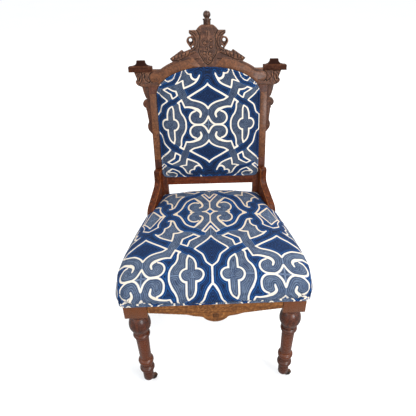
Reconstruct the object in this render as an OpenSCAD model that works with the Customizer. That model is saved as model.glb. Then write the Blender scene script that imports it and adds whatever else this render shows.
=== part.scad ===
// Occasional side chair, in millimetres: a carved crest with a pierced scroll on each side,
// an upholstered back panel and a crowned seat, turned front legs on small casters and
// raked back legs sawn in one piece with the back posts.
// The chair faces -Y. Left and right are as seen from the front. The origin lies on the
// floor below the middle of the chair. Pieces of the back are drawn upright, with Z as
// the height along the back, and then leaned.

/* [Seat frame] */
// Width over the square tops of the front legs
front_width = 490; // [450:1:530]
// Width over the back posts
back_width = 360; // [340:1:380]
// Depth from the face of the front legs to the front of the back posts
frame_depth = 437; // [410:1:460]
// Distance from the chair's middle forward to the face of the front legs
front_reach = 270; // [250:1:290]
// Height of the top of the seat rails above the floor
seat_frame_top = 425; // [415:1:440]
// Height of the underside of the seat rails above the floor
rail_bottom = 362; // [352:1:370]
// Thickness of the seat rails
rail_thick = 24; // [21:1:27]
// Distance from the leg's face back to the face of the front rail
rail_set_back = 2; // [1:0.5:4]
// Distance that the shaped front rail drops at its middle, below the rail's underside
apron_drop = 45; // [34:1:54]
// Thickness of the tenons of the seat rails
tenon_thick = 10; // [8:1:12]
// Height of the shoulder above and below each seat rail tenon
tenon_shoulder = 12; // [8:1:16]
// Length of the tenons in the front legs
front_tenon = 20; // [16:1:24]
// Length of the tenons in the back posts
post_tenon = 14; // [10:1:16]
// Clearance round each tenon, dowel and screw
joint_gap = 0.1; // [0.05:0.05:0.2]
// Width of the braces in the corners of the seat frame
brace_width = 22; // [18:1:26]
// Height of the corner braces
brace_height = 34; // [26:1:40]

/* [Front legs] */
// Side of the leg's square top
leg_block = 62; // [58:1:66]
// Height of the underside of the square top
block_bottom = 346; // [340:1:352]
// Radius of the turned bulb below the square top
bulb_r = 31; // [28:0.5:33]
// Height of the middle of the bulb
bulb_z = 290; // [284:1:294]
// Radius of the ring below the bulb
ring_r = 24.4; // [22:0.2:27]
// Height of the middle of that ring
ring_z = 245; // [240:1:248]
// Radius of the shaft at its top
shaft_top_r = 19; // [17:0.5:21]
// Radius of the shaft at its foot
shaft_foot_r = 16.8; // [15:0.2:18]
// Radius of the two rings at the ankle
ankle_r = 23; // [21:0.2:26]
// Height of the middle of the upper ankle ring
ankle_z = 121; // [118:1:124]
// Height from the lower ankle ring up to the upper one
ankle_pitch = 38; // [36:1:40]
// Radius of the foot below the ankle rings
foot_r = 16; // [15:0.5:18]
// Height of the underside of the front leg above the floor
leg_bottom = 28; // [27:0.5:31]

/* [Casters] */
// Radius of the caster wheel
wheel_r = 10.5; // [9:0.5:11]
// Width of the caster wheel
wheel_width = 9; // [7:0.5:10]
// Distance from the swivel axis back to the wheel's axle
caster_trail = 20; // [18:0.5:22]
// Direction in which the left caster trails at rest, in degrees from +X towards +Y
left_caster_turn = 45; // [0:1:90]
// Direction in which the right caster trails at rest, in degrees from +X towards +Y
right_caster_turn = 18; // [0:1:90]
// Radius of the caster's stem
stem_r = 3.5; // [3:0.25:4]
// Length of the stem above the horn's crown
stem_length = 32; // [26:1:38]
// Radius of the caster's axle
axle_r = 2; // [1.5:0.25:2.5]
// Radial clearance of the stem in its socket and of the wheel on its axle
running_gap = 0.05; // [0.02:0.01:0.08]
// Thickness of the horn's two cheeks
cheek = 2; // [1.5:0.25:2.5]
// Clearance between the wheel and each cheek
wheel_side_gap = 0.8; // [0.5:0.1:1]
// Wall of the socket round the stem
socket_wall = 2.4; // [2:0.2:3]

/* [Back] */
// Height at which the back posts begin to lean
lean_start = 491; // [486:1:500]
// Lean of the back from upright, in degrees
back_lean = 10; // [6:0.5:13]
// Width of the back posts
post_width = 38; // [35:1:41]
// Thickness of the back posts, front to back
post_thick = 28; // [25:1:31]
// Height of the posts' tops, along the back
post_top = 319; // [305:1:330]
// Distance that the back legs kick out behind the posts at the floor
leg_kick = 82; // [60:1:100]
// Thickness of the back leg at the floor
foot_thick = 27; // [25:1:30]
// Height of the lower back rail's underside, along the back
low_rail_bottom = -2; // [-5:1:4]
// Height of the lower back rail
low_rail_height = 47; // [42:1:52]
// Thickness of the lower back rail
low_rail_thick = 16; // [15:1:20]
// Thickness of the burl veneers on the posts and the crest
veneer = 1.5; // [1:0.25:2.5]
// Thickness of the sawn frets on the outer sides of the posts
fret_thick = 16; // [12:1:18]
// Distance from the face of the post back to the face of the fret
fret_set_back = 4; // [2:0.5:6]

/* [Crest] */
// Thickness of the crest board
crest_thick = 16; // [15:1:20]
// Height of the ears' tops under their caps, above the posts' tops
ear_height = 43.5; // [40:0.5:47]
// Height of the flats between the ears' caps and the arch, above the posts' tops
crest_flat = 50; // [46:0.5:54]
// Width of the arched band between the back panel and the crest's outer edge
arch_band = 31; // [28:1:34]
// Extra rise of the arched band at its middle
arch_swell = 2; // [-4:0.5:6]
// Height of the slab of each ear's cap
cap_slab = 15; // [12:0.5:17]
// Height of the sloped roof on each ear's cap
cap_roof = 17; // [12:0.5:19]
// Distance that the cap stands forward of the crest board
cap_proud = 5; // [3:0.5:7]
// Radius of the ball on the finial
ball_r = 10.75; // [9.5:0.25:12]
// Radius of the hole through each scroll
scroll_hole_r = 4.75; // [4:0.25:5.5]
// Height that the crest's mouldings stand forward of the board
relief = 3; // [2:0.25:4]

/* [Hip brackets] */
// Width of the hip brackets, side to side
bracket_width = 22; // [19:1:24]
// Height of the hip brackets above the seat rails
bracket_height = 126; // [118:1:134]
// Reach of the hip brackets forward of the posts
bracket_reach = 105; // [98:1:112]
// Angle at which the hip brackets flare outwards, in degrees
bracket_flare = 15; // [11:0.5:18]

/* [Upholstery] */
// Greatest half-width of the seat cushion, near its front
seat_half = 264; // [258:1:272]
// Distance that the cushion stands forward of the front legs
seat_overhang = 10; // [8:1:13]
// Height of the cushion's crown above the seat rails
seat_crown = 50; // [40:1:60]
// Height of the cushion's widest line above its lower edge
seat_belly = 13; // [10:1:16]
// Height of the welt's lower edge below the top of the seat rails
welt_drop = 30; // [24:1:34]
// Height of the double welt on the seat and its width on the back panel
welt_width = 11; // [9:0.5:13]
// Thickness of the double welt
welt_thick = 4.5; // [3.5:0.5:6]
// Thickness of the cover fabric with its wadding
cover_thick = 2.5; // [1.5:0.25:3]
// Thickness of each layer of webbing
web_thick = 1.5; // [1:0.25:2]
// Width of a webbing strap
web_width = 50; // [40:2:56]
// Clearance round each soft piece
soft_gap = 0.3; // [0.2:0.05:0.5]
// Width of each post's face left bare beside the back panel
post_show = 23; // [21:1:25]
// Height of the back panel's lower edge, along the back
panel_bottom = 27; // [23:1:31]
// Height at which the back panel's arch springs, along the back
panel_spring = 295; // [285:1:300]
// Rise of the back panel's arch
panel_rise = 80; // [72:1:86]
// Depth of the back panel's crown in front of the posts
panel_crown = 30; // [24:1:36]
// Radius of the back panel's lower corners
panel_corner = 17; // [12:1:22]

/* [Hidden] */
$fn = 48;

walnut = [0.36, 0.22, 0.14];
dark_walnut = [0.28, 0.15, 0.09];
burl = [0.55, 0.40, 0.27];
navy = [0.10, 0.19, 0.40];
slate = [0.33, 0.42, 0.55];
jute = [0.66, 0.55, 0.38];
linen = [0.80, 0.74, 0.62];
iron = [0.16, 0.15, 0.14];
brass = [0.62, 0.50, 0.28];

front_y = -front_reach;
back_y = frame_depth - front_reach;
leg_x = front_width / 2 - leg_block / 2;
leg_y = front_y + leg_block / 2;
block_in = front_width / 2 - leg_block;
block_rear = front_y + leg_block;
post_out = back_width / 2;
post_in = post_out - post_width;
rail_height = seat_frame_top - rail_bottom;
rail_run = back_y - block_rear;
rail_angle = atan((front_width / 2 - rail_set_back - post_out) / rail_run);
rail_length = rail_run / cos(rail_angle);
rear_rail_thick = rail_thick - 2;
rear_rail_y = back_y - 3;
far = 1000;

// Points of an arc about (cx, cy), from angle a0 to a1 in n steps
function arc(cx, cy, rx, ry, a0, a1, n) =
    [for (i = [0:n]) let (a = a0 + (a1 - a0) * i / n) [cx + rx * cos(a), cy + ry * sin(a)]];
function flip(points) = [for (i = [len(points) - 1:-1:0]) [-points[i][0], points[i][1]]];
function both(points) = concat(points, flip(points));

// Draws a piece of the back upright and leans it with the back
module in_back() {
    translate([0, back_y, lean_start]) rotate([-back_lean, 0, 0]) children();
}
// A board whose outline is drawn in the back's plane, set t behind the posts' faces
module board(t, thick) {
    translate([0, t + thick, 0]) rotate([90, 0, 0]) linear_extrude(thick) children();
}
module left_of() {
    mirror([1, 0, 0]) children();
}

// Front legs
bead_h = 8;
collar_r = 26.5;
collar_h = 8;
neck_r = 20;
foot_end_r = 12;
block_cut = 8;

// Profile of the turning from the square top down to the foot, as radius and height
leg_profile = concat(
    [[0, block_bottom + 1], [collar_r - 3, block_bottom + 1], [collar_r - 3, block_bottom]],
    arc(collar_r - collar_h / 2, block_bottom - collar_h / 2, collar_h / 2, collar_h / 2, 90, -90, 6),
    [[neck_r, block_bottom - collar_h], [neck_r, block_bottom - collar_h - 5]],
    arc(0, bulb_z, bulb_r, block_bottom - collar_h - 6 - bulb_z, 52, 0, 8),
    arc(0, bulb_z, bulb_r, bulb_r, -6, -50, 8),
    [[neck_r - 0.5, ring_z + bead_h + 5], [neck_r - 0.5, ring_z + bead_h]],
    arc(ring_r - bead_h, ring_z, bead_h, bead_h, 80, -80, 8),
    [[shaft_top_r, ring_z - bead_h - 3], [shaft_foot_r, ankle_z + bead_h + 6]],
    arc(ankle_r - 9, ankle_z, 9, 10, 75, -80, 8),
    [[shaft_foot_r + 1.5, ankle_z - ankle_pitch / 2 + 2],
        [shaft_foot_r + 1.5, ankle_z - ankle_pitch / 2 - 2]],
    arc(ankle_r - 10, ankle_z - ankle_pitch, 9.5, 10, 80, -75, 8),
    [[foot_r - 2, ankle_z - ankle_pitch - 13], [foot_r, ankle_z - ankle_pitch - 19]],
    arc(foot_end_r, leg_bottom + 6, foot_r - foot_end_r, 6, 0, -90, 5),
    [[0, leg_bottom]]);

module front_leg() {
    color(dark_walnut) difference() {
        translate([leg_x, leg_y, 0]) union() {
            rotate_extrude() polygon(leg_profile);
            translate([-leg_block / 2, -leg_block / 2, block_bottom])
                cube([leg_block, leg_block, seat_frame_top - block_bottom]);
        }
        front_rail_tenon(joint_gap);
        side_rail_front_tenon(joint_gap);
        translate([leg_x, leg_y, leg_bottom - 1])
            cylinder(r = socket_r + joint_gap, h = socket_length + 1 + joint_gap);
        translate([front_width / 2, front_y, cushion_bottom])
            cylinder(r = block_cut, h = far, $fn = 4);
    }
}
module right_front_leg() {
    front_leg();
}
module left_front_leg() {
    left_of() front_leg();
}

// Casters
socket_r = stem_r + socket_wall;
crown_thick = 3;
flange_thick = 2;
flange_r = foot_end_r - 1.5;
flange_gap = 0.4;
crown_top = leg_bottom - flange_thick - flange_gap;
socket_length = stem_length - flange_gap - flange_thick + 2;
cheek_v = wheel_width / 2 + wheel_side_gap;
axle_head = 1.2;
cheek_eye = 2.6;
tread_round = 1.5;

// Along a caster's own horn: X is the way it trails, Y lies along the axle
module in_caster(side) {
    translate([side * leg_x, leg_y, 0])
        rotate([0, 0, side < 0 ? left_caster_turn : right_caster_turn]) children();
}
module caster_socket(side) {
    color(brass) in_caster(side) difference() {
        union() {
            translate([0, 0, leg_bottom]) cylinder(r = socket_r, h = socket_length);
            translate([0, 0, leg_bottom - flange_thick]) cylinder(r = flange_r, h = flange_thick);
        }
        translate([0, 0, leg_bottom - flange_thick - 1])
            cylinder(r = stem_r + running_gap, h = flange_thick + socket_length - 1);
    }
}
module cheek_outline() {
    circle(r = axle_r + cheek_eye);
    translate([-caster_trail - 8, crown_top - crown_thick - wheel_r]) square([15, crown_thick]);
    polygon([[-caster_trail - 8, crown_top - wheel_r - crown_thick / 2],
        [-caster_trail + 7, crown_top - wheel_r - crown_thick / 2], [2.5, 3.8], [0, -4.6],
        [-4.2, -2]]);
}
module caster_horn(side) {
    color(iron) in_caster(side) difference() {
        union() {
            translate([0, 0, crown_top - crown_thick]) cylinder(r = flange_r, h = crown_thick);
            translate([0, 0, crown_top - 1]) cylinder(r = stem_r, h = stem_length + 1);
            for (hand = [-1, 1])
                translate([caster_trail, hand * (cheek_v + cheek / 2) + cheek / 2, wheel_r])
                    rotate([90, 0, 0]) linear_extrude(cheek) cheek_outline();
        }
        translate([caster_trail, 0, wheel_r]) rotate([90, 0, 0])
            cylinder(r = axle_r + joint_gap / 2, h = 40, center = true);
    }
}
module caster_axle(side) {
    color(iron) in_caster(side) translate([caster_trail, 0, wheel_r]) rotate([90, 0, 0]) {
        cylinder(r = axle_r, h = 2 * (cheek_v + cheek) + 1, center = true);
        for (hand = [-1, 1])
            translate([0, 0, hand * (cheek_v + cheek + axle_head / 2)])
                cylinder(r = axle_r + 1.4, h = axle_head, center = true);
    }
}
module caster_wheel(side) {
    color(iron) in_caster(side) translate([caster_trail, 0, wheel_r]) rotate([90, 0, 0])
        rotate_extrude() difference() {
            union() {
                translate([0, -wheel_width / 2]) square([wheel_r - tread_round, wheel_width]);
                translate([0, tread_round - wheel_width / 2])
                    square([wheel_r, wheel_width - 2 * tread_round]);
                for (hand = [-1, 1])
                    translate([wheel_r - tread_round, hand * (wheel_width / 2 - tread_round)])
                        circle(r = tread_round);
            }
            translate([0, -wheel_width]) square([axle_r + running_gap, 2 * wheel_width]);
        }
}
module left_caster_socket() {
    caster_socket(-1);
}
module left_caster_horn() {
    caster_horn(-1);
}
module left_caster_axle() {
    caster_axle(-1);
}
module left_caster_wheel() {
    caster_wheel(-1);
}
module right_caster_socket() {
    caster_socket(1);
}
module right_caster_horn() {
    caster_horn(1);
}
module right_caster_axle() {
    caster_axle(1);
}
module right_caster_wheel() {
    caster_wheel(1);
}

// Seat frame
tenon_z = rail_bottom + tenon_shoulder;
tenon_height = rail_height - 2 * tenon_shoulder;
apron_side = 75;
apron_lobe = 35;
lobe_depth = 21;
lobe_r = (apron_lobe * apron_lobe + lobe_depth * lobe_depth) / (2 * lobe_depth);
lobe_turn = asin(apron_lobe / lobe_r);

module front_rail_tenon(gap) {
    translate([block_in - 10, front_y + rail_set_back + rail_thick / 2 - tenon_thick / 2 - gap,
        tenon_z - gap])
        cube([front_tenon + 10 + gap, tenon_thick + 2 * gap, tenon_height + 2 * gap]);
}
// Lower edge of the front rail: a slow fall, a small step and a round lobe in the middle
apron_edge = concat([[block_in, rail_bottom], [apron_side, rail_bottom - 13],
        [apron_side - 14, rail_bottom - apron_drop + lobe_depth + 5],
        [apron_lobe + 10, rail_bottom - apron_drop + lobe_depth + 2]],
    arc(0, rail_bottom - apron_drop + lobe_r, lobe_r, lobe_r, lobe_turn - 90, -90, 8));

module front_seat_rail() {
    color(walnut) difference() {
        union() {
            translate([0, front_y + rail_set_back + rail_thick, 0]) rotate([90, 0, 0])
                linear_extrude(rail_thick)
                    polygon(both(concat([[block_in, seat_frame_top]], apron_edge)));
            front_rail_tenon(0);
            left_of() front_rail_tenon(0);
        }
        brace_screw_set(joint_gap / 2);
        left_of() brace_screw_set(joint_gap / 2);
    }
}
// Along the right side rail: Y runs forward as -Y, and X = 0 is the rail's outer face
module in_side_rail() {
    translate([post_out, back_y, 0]) rotate([0, 0, rail_angle]) children();
}
module side_tenon(from, length, gap) {
    in_side_rail()
        translate([-rail_thick / 2 - tenon_thick / 2 - gap, from - gap, tenon_z - gap])
            cube([tenon_thick + 2 * gap, length + 2 * gap, tenon_height + 2 * gap]);
}
module side_rail_front_tenon(gap) {
    side_tenon(-rail_length - front_tenon, front_tenon + 10, gap);
}
module side_rail_rear_tenon(gap) {
    side_tenon(-10, post_tenon + 10, gap);
}
module side_rail() {
    color(walnut) difference() {
        union() {
            intersection() {
                in_side_rail() translate([-rail_thick, -rail_length - 20, rail_bottom])
                    cube([rail_thick, rail_length + 40, rail_height]);
                translate([0, block_rear, 0]) cube([far, rail_run, far]);
            }
            side_rail_front_tenon(0);
            side_rail_rear_tenon(0);
        }
        brace_screw_set(joint_gap / 2);
    }
}
module right_side_rail() {
    side_rail();
}
module left_side_rail() {
    left_of() side_rail();
}
module rear_rail_tenon(gap) {
    translate([post_in - 10, rear_rail_y + rear_rail_thick / 2 - tenon_thick / 2 - gap,
        tenon_z - gap])
        cube([post_tenon + 10 + gap, tenon_thick + 2 * gap, tenon_height + 2 * gap]);
}
module rear_seat_rail() {
    color(walnut) difference() {
        union() {
            translate([-post_in, rear_rail_y, rail_bottom])
                cube([2 * post_in, rear_rail_thick, rail_height]);
            rear_rail_tenon(0);
            left_of() rear_rail_tenon(0);
        }
        brace_screw_set(joint_gap / 2);
        left_of() brace_screw_set(joint_gap / 2);
    }
}
// Plan of the space inside the seat rails
rail_in_front = front_y + rail_set_back + rail_thick;
function rail_inner_x(y) =
    post_out - rail_thick / cos(rail_angle) + (back_y - y) * tan(rail_angle);
brace_z = seat_frame_top - 8 - brace_height;
front_brace_at = [block_in - 8, block_rear + 10];
rear_brace_at = [post_in - 10, rear_rail_y - 34];
front_brace_line = front_brace_at[0] - front_brace_at[1];
rear_brace_line = rear_brace_at[0] + rear_brace_at[1];
slope = tan(rail_angle);
screw_r = 2.1;
screw_length = 29;
screw_out = 15;
head_r = 4;
head_thick = 3;

module corner_brace_pair() {
    intersection() {
        linear_extrude(far) polygon(both([[rail_inner_x(rail_in_front), rail_in_front],
            [rail_inner_x(rear_rail_y), rear_rail_y]]));
        union() {
            translate([front_brace_at[0], front_brace_at[1], brace_z]) rotate([0, 0, 45])
                translate([-far / 4, 0, 0]) cube([far / 2, brace_width, brace_height]);
            translate([rear_brace_at[0], rear_brace_at[1], brace_z]) rotate([0, 0, -45])
                translate([-far / 4, -brace_width, 0]) cube([far / 2, brace_width, brace_height]);
        }
    }
}
module brace_screw(x, y, turn, gap) {
    bore = gap > 0 ? 40 : 0;
    translate([x, y, brace_z + brace_height / 2]) rotate([0, 0, turn])
        translate([-screw_out, 0, 0]) rotate([0, 90, 0]) {
            cylinder(r = screw_r + gap, h = screw_length + gap);
            translate([0, 0, -bore]) cylinder(r = head_r + gap, h = head_thick + bore);
        }
}
// Two screws through each brace, one square to each of the rails that it joins
module brace_screw_set(gap) {
    front_side_y = (rail_inner_x(0) - front_brace_line) / (1 + slope) + 8;
    rear_side_y = (rear_brace_line - rail_inner_x(0)) / (1 - slope) - 12;
    brace_screw(front_brace_line + rail_in_front - 11, rail_in_front, -90, gap);
    brace_screw(rail_inner_x(front_side_y), front_side_y, rail_angle, gap);
    brace_screw(rail_inner_x(rear_side_y), rear_side_y, rail_angle, gap);
    brace_screw(rear_brace_line - rear_rail_y - 10, rear_rail_y, 90, gap);
}
module corner_braces() {
    color(jute) {
        brace_pair();
        left_of() brace_pair();
    }
}
module brace_pair() {
    difference() {
        corner_brace_pair();
        brace_screw_set(joint_gap / 2);
    }
}
module brace_screws() {
    color(iron) {
        brace_screw_set(0);
        left_of() brace_screw_set(0);
    }
}

// Back posts, each in one piece with its back leg
lean_sin = sin(back_lean);
lean_cos = cos(back_lean);
leg_steps = 8;
function back_point(t, s) =
    [back_y + s * lean_sin + t * lean_cos, lean_start + s * lean_cos - t * lean_sin];
function kick(z) = leg_kick * pow((rail_bottom - z) / rail_bottom, 1.6);
function leg_thick(z) = foot_thick + (post_thick - foot_thick) * z / rail_bottom;
post_profile = concat([back_point(0, post_top), back_point(post_thick, post_top),
        back_point(post_thick, 0)],
    [for (i = [leg_steps:-1:0]) let (z = rail_bottom * i / leg_steps)
        [back_y + kick(z) + leg_thick(z), z]],
    [for (i = [0:leg_steps]) let (z = rail_bottom * i / leg_steps) [back_y + kick(z), z]],
    [[back_y, lean_start]]);
dowel_r = 4;
dowel_half = 22;
dowel_step = 9;
low_tenon_thick = 8;
low_tenon_shoulder = 8;
low_tenon = 18;

module crest_dowel_pair(gap) {
    in_back() for (side = [-1, 1])
        translate([post_out - post_width / 2 + side * dowel_step, crest_thick / 2,
            post_top - dowel_half - gap])
            cylinder(r = dowel_r + gap, h = 2 * dowel_half + 2 * gap);
}
module low_rail_tenon(gap) {
    in_back() translate([post_in - 10, low_rail_thick / 2 - low_tenon_thick / 2 - gap,
        low_rail_bottom + low_tenon_shoulder - gap])
        cube([low_tenon + 10 + gap, low_tenon_thick + 2 * gap,
            low_rail_height - 2 * low_tenon_shoulder + 2 * gap]);
}
module back_post() {
    color(walnut) difference() {
        translate([post_in, 0, 0]) rotate([90, 0, 90]) linear_extrude(post_width)
            polygon(post_profile);
        side_rail_rear_tenon(joint_gap);
        rear_rail_tenon(joint_gap);
        low_rail_tenon(joint_gap);
        crest_dowel_pair(joint_gap);
    }
}
module right_back_post() {
    back_post();
}
module left_back_post() {
    left_of() back_post();
}
module crest_dowels() {
    color(jute) {
        crest_dowel_pair(0);
        left_of() crest_dowel_pair(0);
    }
}
module lower_back_rail() {
    color(walnut) {
        in_back() translate([-post_in, 0, low_rail_bottom])
            cube([2 * post_in, low_rail_thick, low_rail_height]);
        low_rail_tenon(0);
        left_of() low_rail_tenon(0);
    }
}
post_veneer_from = 88;
post_veneer_top_gap = 21;
veneer_edge = 2;

module post_veneer() {
    color(burl) in_back() translate([post_out - post_show + veneer_edge, -veneer, post_veneer_from])
        cube([post_show - 2 * veneer_edge, veneer,
            post_top - post_veneer_top_gap - post_veneer_from]);
}
module right_post_veneer() {
    post_veneer();
}
module left_post_veneer() {
    left_of() post_veneer();
}

// Sawn frets on the posts' outer sides: an upper leaf, a middle lobe and a long tail
fret_top = 145;

module side_fret() {
    color(walnut) in_back() board(fret_set_back, fret_thick)
        translate([post_out, post_top - fret_top - 2]) intersection() {
            translate([0, 0]) square([40, fret_top + 2]);
            union() {
                polygon(concat([[-1, 0], [1, 0]], arc(-2, 24, 15, 20, -40, 20, 5),
                    [[9, 38], [9, 46], [12, 74]], [[14, 80], [-1, 110]]));
                translate([9, 95]) circle(r = 13);
                polygon([[-1, 100], [12, 115], [17, 131], [20, fret_top + 2], [-1, fret_top + 2]]);
            }
        }
}
module right_side_fret() {
    side_fret();
}
module left_side_fret() {
    left_of() side_fret();
}

// Hip brackets, drawn as distance forward of the post and height above the seat rails
knuckle = 7;
sweep_r = 30;
nose_r = 32;
bracket_outline = concat([[-30, 0], [-30, bracket_height], [8, bracket_height]],
    arc(8, bracket_height - knuckle, knuckle, knuckle, 90, 0, 5),
    arc(8 + knuckle + sweep_r, bracket_height - 29, sweep_r, sweep_r, 180, 243, 8),
    arc(bracket_reach - nose_r, 12, nose_r, nose_r, 65, 0, 8),
    [[bracket_reach, 0]]);

module in_bracket() {
    translate([post_out, back_y, seat_frame_top]) rotate([0, 0, bracket_flare]) children();
}
module hip_bracket() {
    color(dark_walnut) difference() {
        in_bracket() rotate([90, 0, -90]) linear_extrude(bracket_width) polygon(bracket_outline);
        translate([-far / 2, back_y, 0]) cube([far, far, far]);
        in_back() translate([-far / 2, 0, -50]) cube([far, far, far]);
    }
}
module right_hip_bracket() {
    hip_bracket();
}
module left_hip_bracket() {
    left_of() hip_bracket();
}

// Crest board: ears, arched band, leaves, pierced scrolls and the domed middle
panel_half = post_out - post_show;
arch_x = panel_half + arch_band;
arch_rise = panel_rise + arch_band + arch_swell;
ear_s = post_top + ear_height;
flat_s = post_top + crest_flat;
lap = 20;
dome_r = 37.5;
dome_s = 456.3;
shoulder_s = 462;
shoulder_h = 14;
shoulder_x = 53;
ring_at = [49, 447];
scroll_r = 12;
tail_s = 426;
curve_at = [57, 446];
curve_r = 22;
neck_half = 12;
neck_s = 490.5;
cap_in = 14;
cap_out = 55;

arch_outer = arc(0, panel_spring, arch_x, arch_rise, 0, 90, 20);
module ellipse_field(rx, ry, from) {
    polygon(both(concat([[rx, panel_spring - from]], arc(0, panel_spring, rx, ry, 0, 90, 20))));
}
module teardrop(r, tip) {
    tangent = asin(r / (ring_at[1] - tip));
    translate(ring_at) circle(r = r);
    polygon([[ring_at[0], tip], [ring_at[0] + r * cos(tangent), ring_at[1] - r * sin(tangent)],
        [ring_at[0] - r * cos(tangent), ring_at[1] - r * sin(tangent)]]);
}
module ear_outline() {
    polygon([[post_in - 14, post_top], [post_out + 21, post_top], [post_out + 33, post_top + 5],
        [post_out + 33, post_top + 23], [post_out + 40, ear_s], [post_in - 14, ear_s]]);
    translate([post_in - 14, post_top]) square([cap_x0 - post_in + 14, crest_flat]);
    translate([post_out + 29, post_top + 14]) circle(r = 8.5);
}
leaf_outline = [[40, 428], [47, 425], [58, 421.5], [70, 417], [75, 423], [93, 411], [112, 398.5],
    [104, 390], [90, 374], [40, 374]];
module half_crest() {
    ear_outline();
    intersection() {
        ellipse_field(arch_x, arch_rise, 0);
        translate([0, post_top]) square([far, far]);
    }
    polygon(leaf_outline);
    difference() {
        translate([0, 380]) square([47, shoulder_s + 1 - 380]);
        translate(curve_at) circle(r = curve_r);
    }
    translate([34, 434]) square([12, 28]);
    teardrop(scroll_r, tail_s);
    polygon([[0, shoulder_s], [shoulder_x - 6, shoulder_s], [shoulder_x, shoulder_s + 6],
        [shoulder_x, shoulder_s + shoulder_h], [0, shoulder_s + shoulder_h]]);
}
module crest_outline() {
    difference() {
        union() {
            half_crest();
            mirror([1, 0]) half_crest();
            intersection() {
                translate([0, dome_s]) circle(r = dome_r);
                translate([-far / 2, 440]) square([far, neck_s - 440]);
            }
        }
        difference() {
            ellipse_field(panel_half - lap, panel_rise - lap, 60);
            translate([-far / 2, -far]) square([far, far]);
        }
    }
}
curve_band = 6.5;
curve_tail = [[35, 417], [44, 413], [60, 407], [88, 394], [108, 397], [92, 409], [70, 414],
    [52, 419], [46, 424]];
module curve_moulding() {
    intersection() {
        difference() {
            translate(curve_at) circle(r = curve_r + curve_band);
            translate(curve_at) circle(r = curve_r);
        }
        polygon([[0, shoulder_s - 2], [curve_at[0] - 8, shoulder_s - 2], [44, curve_at[1]],
            [46, 424], [36, 412], [0, 412]]);
    }
    polygon(curve_tail);
}
module crest_board() {
    color(walnut) in_back() difference() {
        union() {
            board(0, crest_thick) crest_outline();
            board(-relief, relief + 1) {
                curve_moulding();
                mirror([1, 0]) curve_moulding();
            }
        }
        for (side = [-1, 1]) translate([side * ring_at[0], 0, ring_at[1] + 2]) rotate([90, 0, 0])
            cylinder(r = scroll_hole_r, h = 60, center = true);
        board(-1, crest_thick - 6) {
            teardrop(scroll_r - 4, tail_s + 8);
            mirror([1, 0]) teardrop(scroll_r - 4, tail_s + 8);
        }
        translate([0, crest_thick / 2, neck_s - spigot_length - joint_gap])
            cylinder(r = spigot_r + joint_gap, h = spigot_length + 10);
        crest_dowel_holes();
        left_of() crest_dowel_holes();
    }
}
module crest_dowel_holes() {
    for (side = [-1, 1])
        translate([post_out - post_width / 2 + side * dowel_step, crest_thick / 2, post_top - 5])
            cylinder(r = dowel_r + joint_gap, h = dowel_half + 5 + joint_gap);
}
spigot_r = 4;
spigot_length = 18;
collar_top = 15.5;
ball_neck_r = 7;

module crest_finial() {
    color(dark_walnut) in_back() translate([0, crest_thick / 2, neck_s]) {
        translate([0, 0, -spigot_length]) cylinder(r = spigot_r, h = spigot_length + 1);
        cylinder(r = neck_half - 1.5, h = collar_top);
        translate([0, 0, collar_top - 4]) cylinder(r = neck_half, h = 4);
        cylinder(r = ball_neck_r, h = collar_top + 4);
        translate([0, 0, collar_top + ball_r]) sphere(r = ball_r);
    }
}
// Caps of the ears: a slab with a concave roof that is hipped on all four sides
cap_x0 = post_out - cap_in;
cap_x1 = post_out + cap_out;
cap_depth = crest_thick + cap_proud + 6;
roof_in_left = 20;
roof_in_right = 25;
roof_in_depth = 8;

module roof_layers(width, in_a, in_b) {
    polygon(concat([[0, 0], [width, 0]],
        [for (i = [1:4]) let (u = i / 4) [width - in_b * (1 - pow(1 - u, 2)), cap_roof * u * u]],
        [for (i = [4:-1:1]) let (u = i / 4) [in_a * (1 - pow(1 - u, 2)), cap_roof * u * u]]));
}
module ear_cap() {
    color(dark_walnut) in_back() translate([cap_x0, -cap_proud, ear_s]) {
        cube([cap_x1 - cap_x0, cap_depth, cap_slab]);
        translate([0, 0, cap_slab]) intersection() {
            translate([0, cap_depth, 0]) rotate([90, 0, 0]) linear_extrude(cap_depth)
                roof_layers(cap_x1 - cap_x0, roof_in_left, roof_in_right);
            rotate([90, 0, 90]) linear_extrude(cap_x1 - cap_x0)
                roof_layers(cap_depth, roof_in_depth, roof_in_depth);
        }
    }
}
module right_ear_cap() {
    ear_cap();
}
module left_ear_cap() {
    left_of() ear_cap();
}
veneer_nose = [160, 346];
veneer_nose_r = 13;
module crest_veneer() {
    color(burl) in_back() board(-veneer, veneer) {
        difference() {
            intersection() {
                ellipse_field(arch_x - 9, arch_rise - 6, 0);
                polygon([[45, 402], [150, 402], [150, post_top + 8], [22, post_top + 8],
                    [22, panel_spring + panel_rise + 1]]);
            }
            ellipse_field(panel_half + 1.5, panel_rise + 1.5, 60);
        }
        intersection() {
            union() {
                translate(veneer_nose) circle(r = veneer_nose_r);
                translate([140, veneer_nose[1] - 6]) square([20, 19]);
            }
            difference() {
                translate([0, 0]) square([far, flat_s - 3]);
                ellipse_field(panel_half + 1.5, panel_rise + 1.5, 60);
            }
        }
    }
}
module right_crest_veneer() {
    crest_veneer();
}
module left_crest_veneer() {
    left_of() crest_veneer();
}

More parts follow.
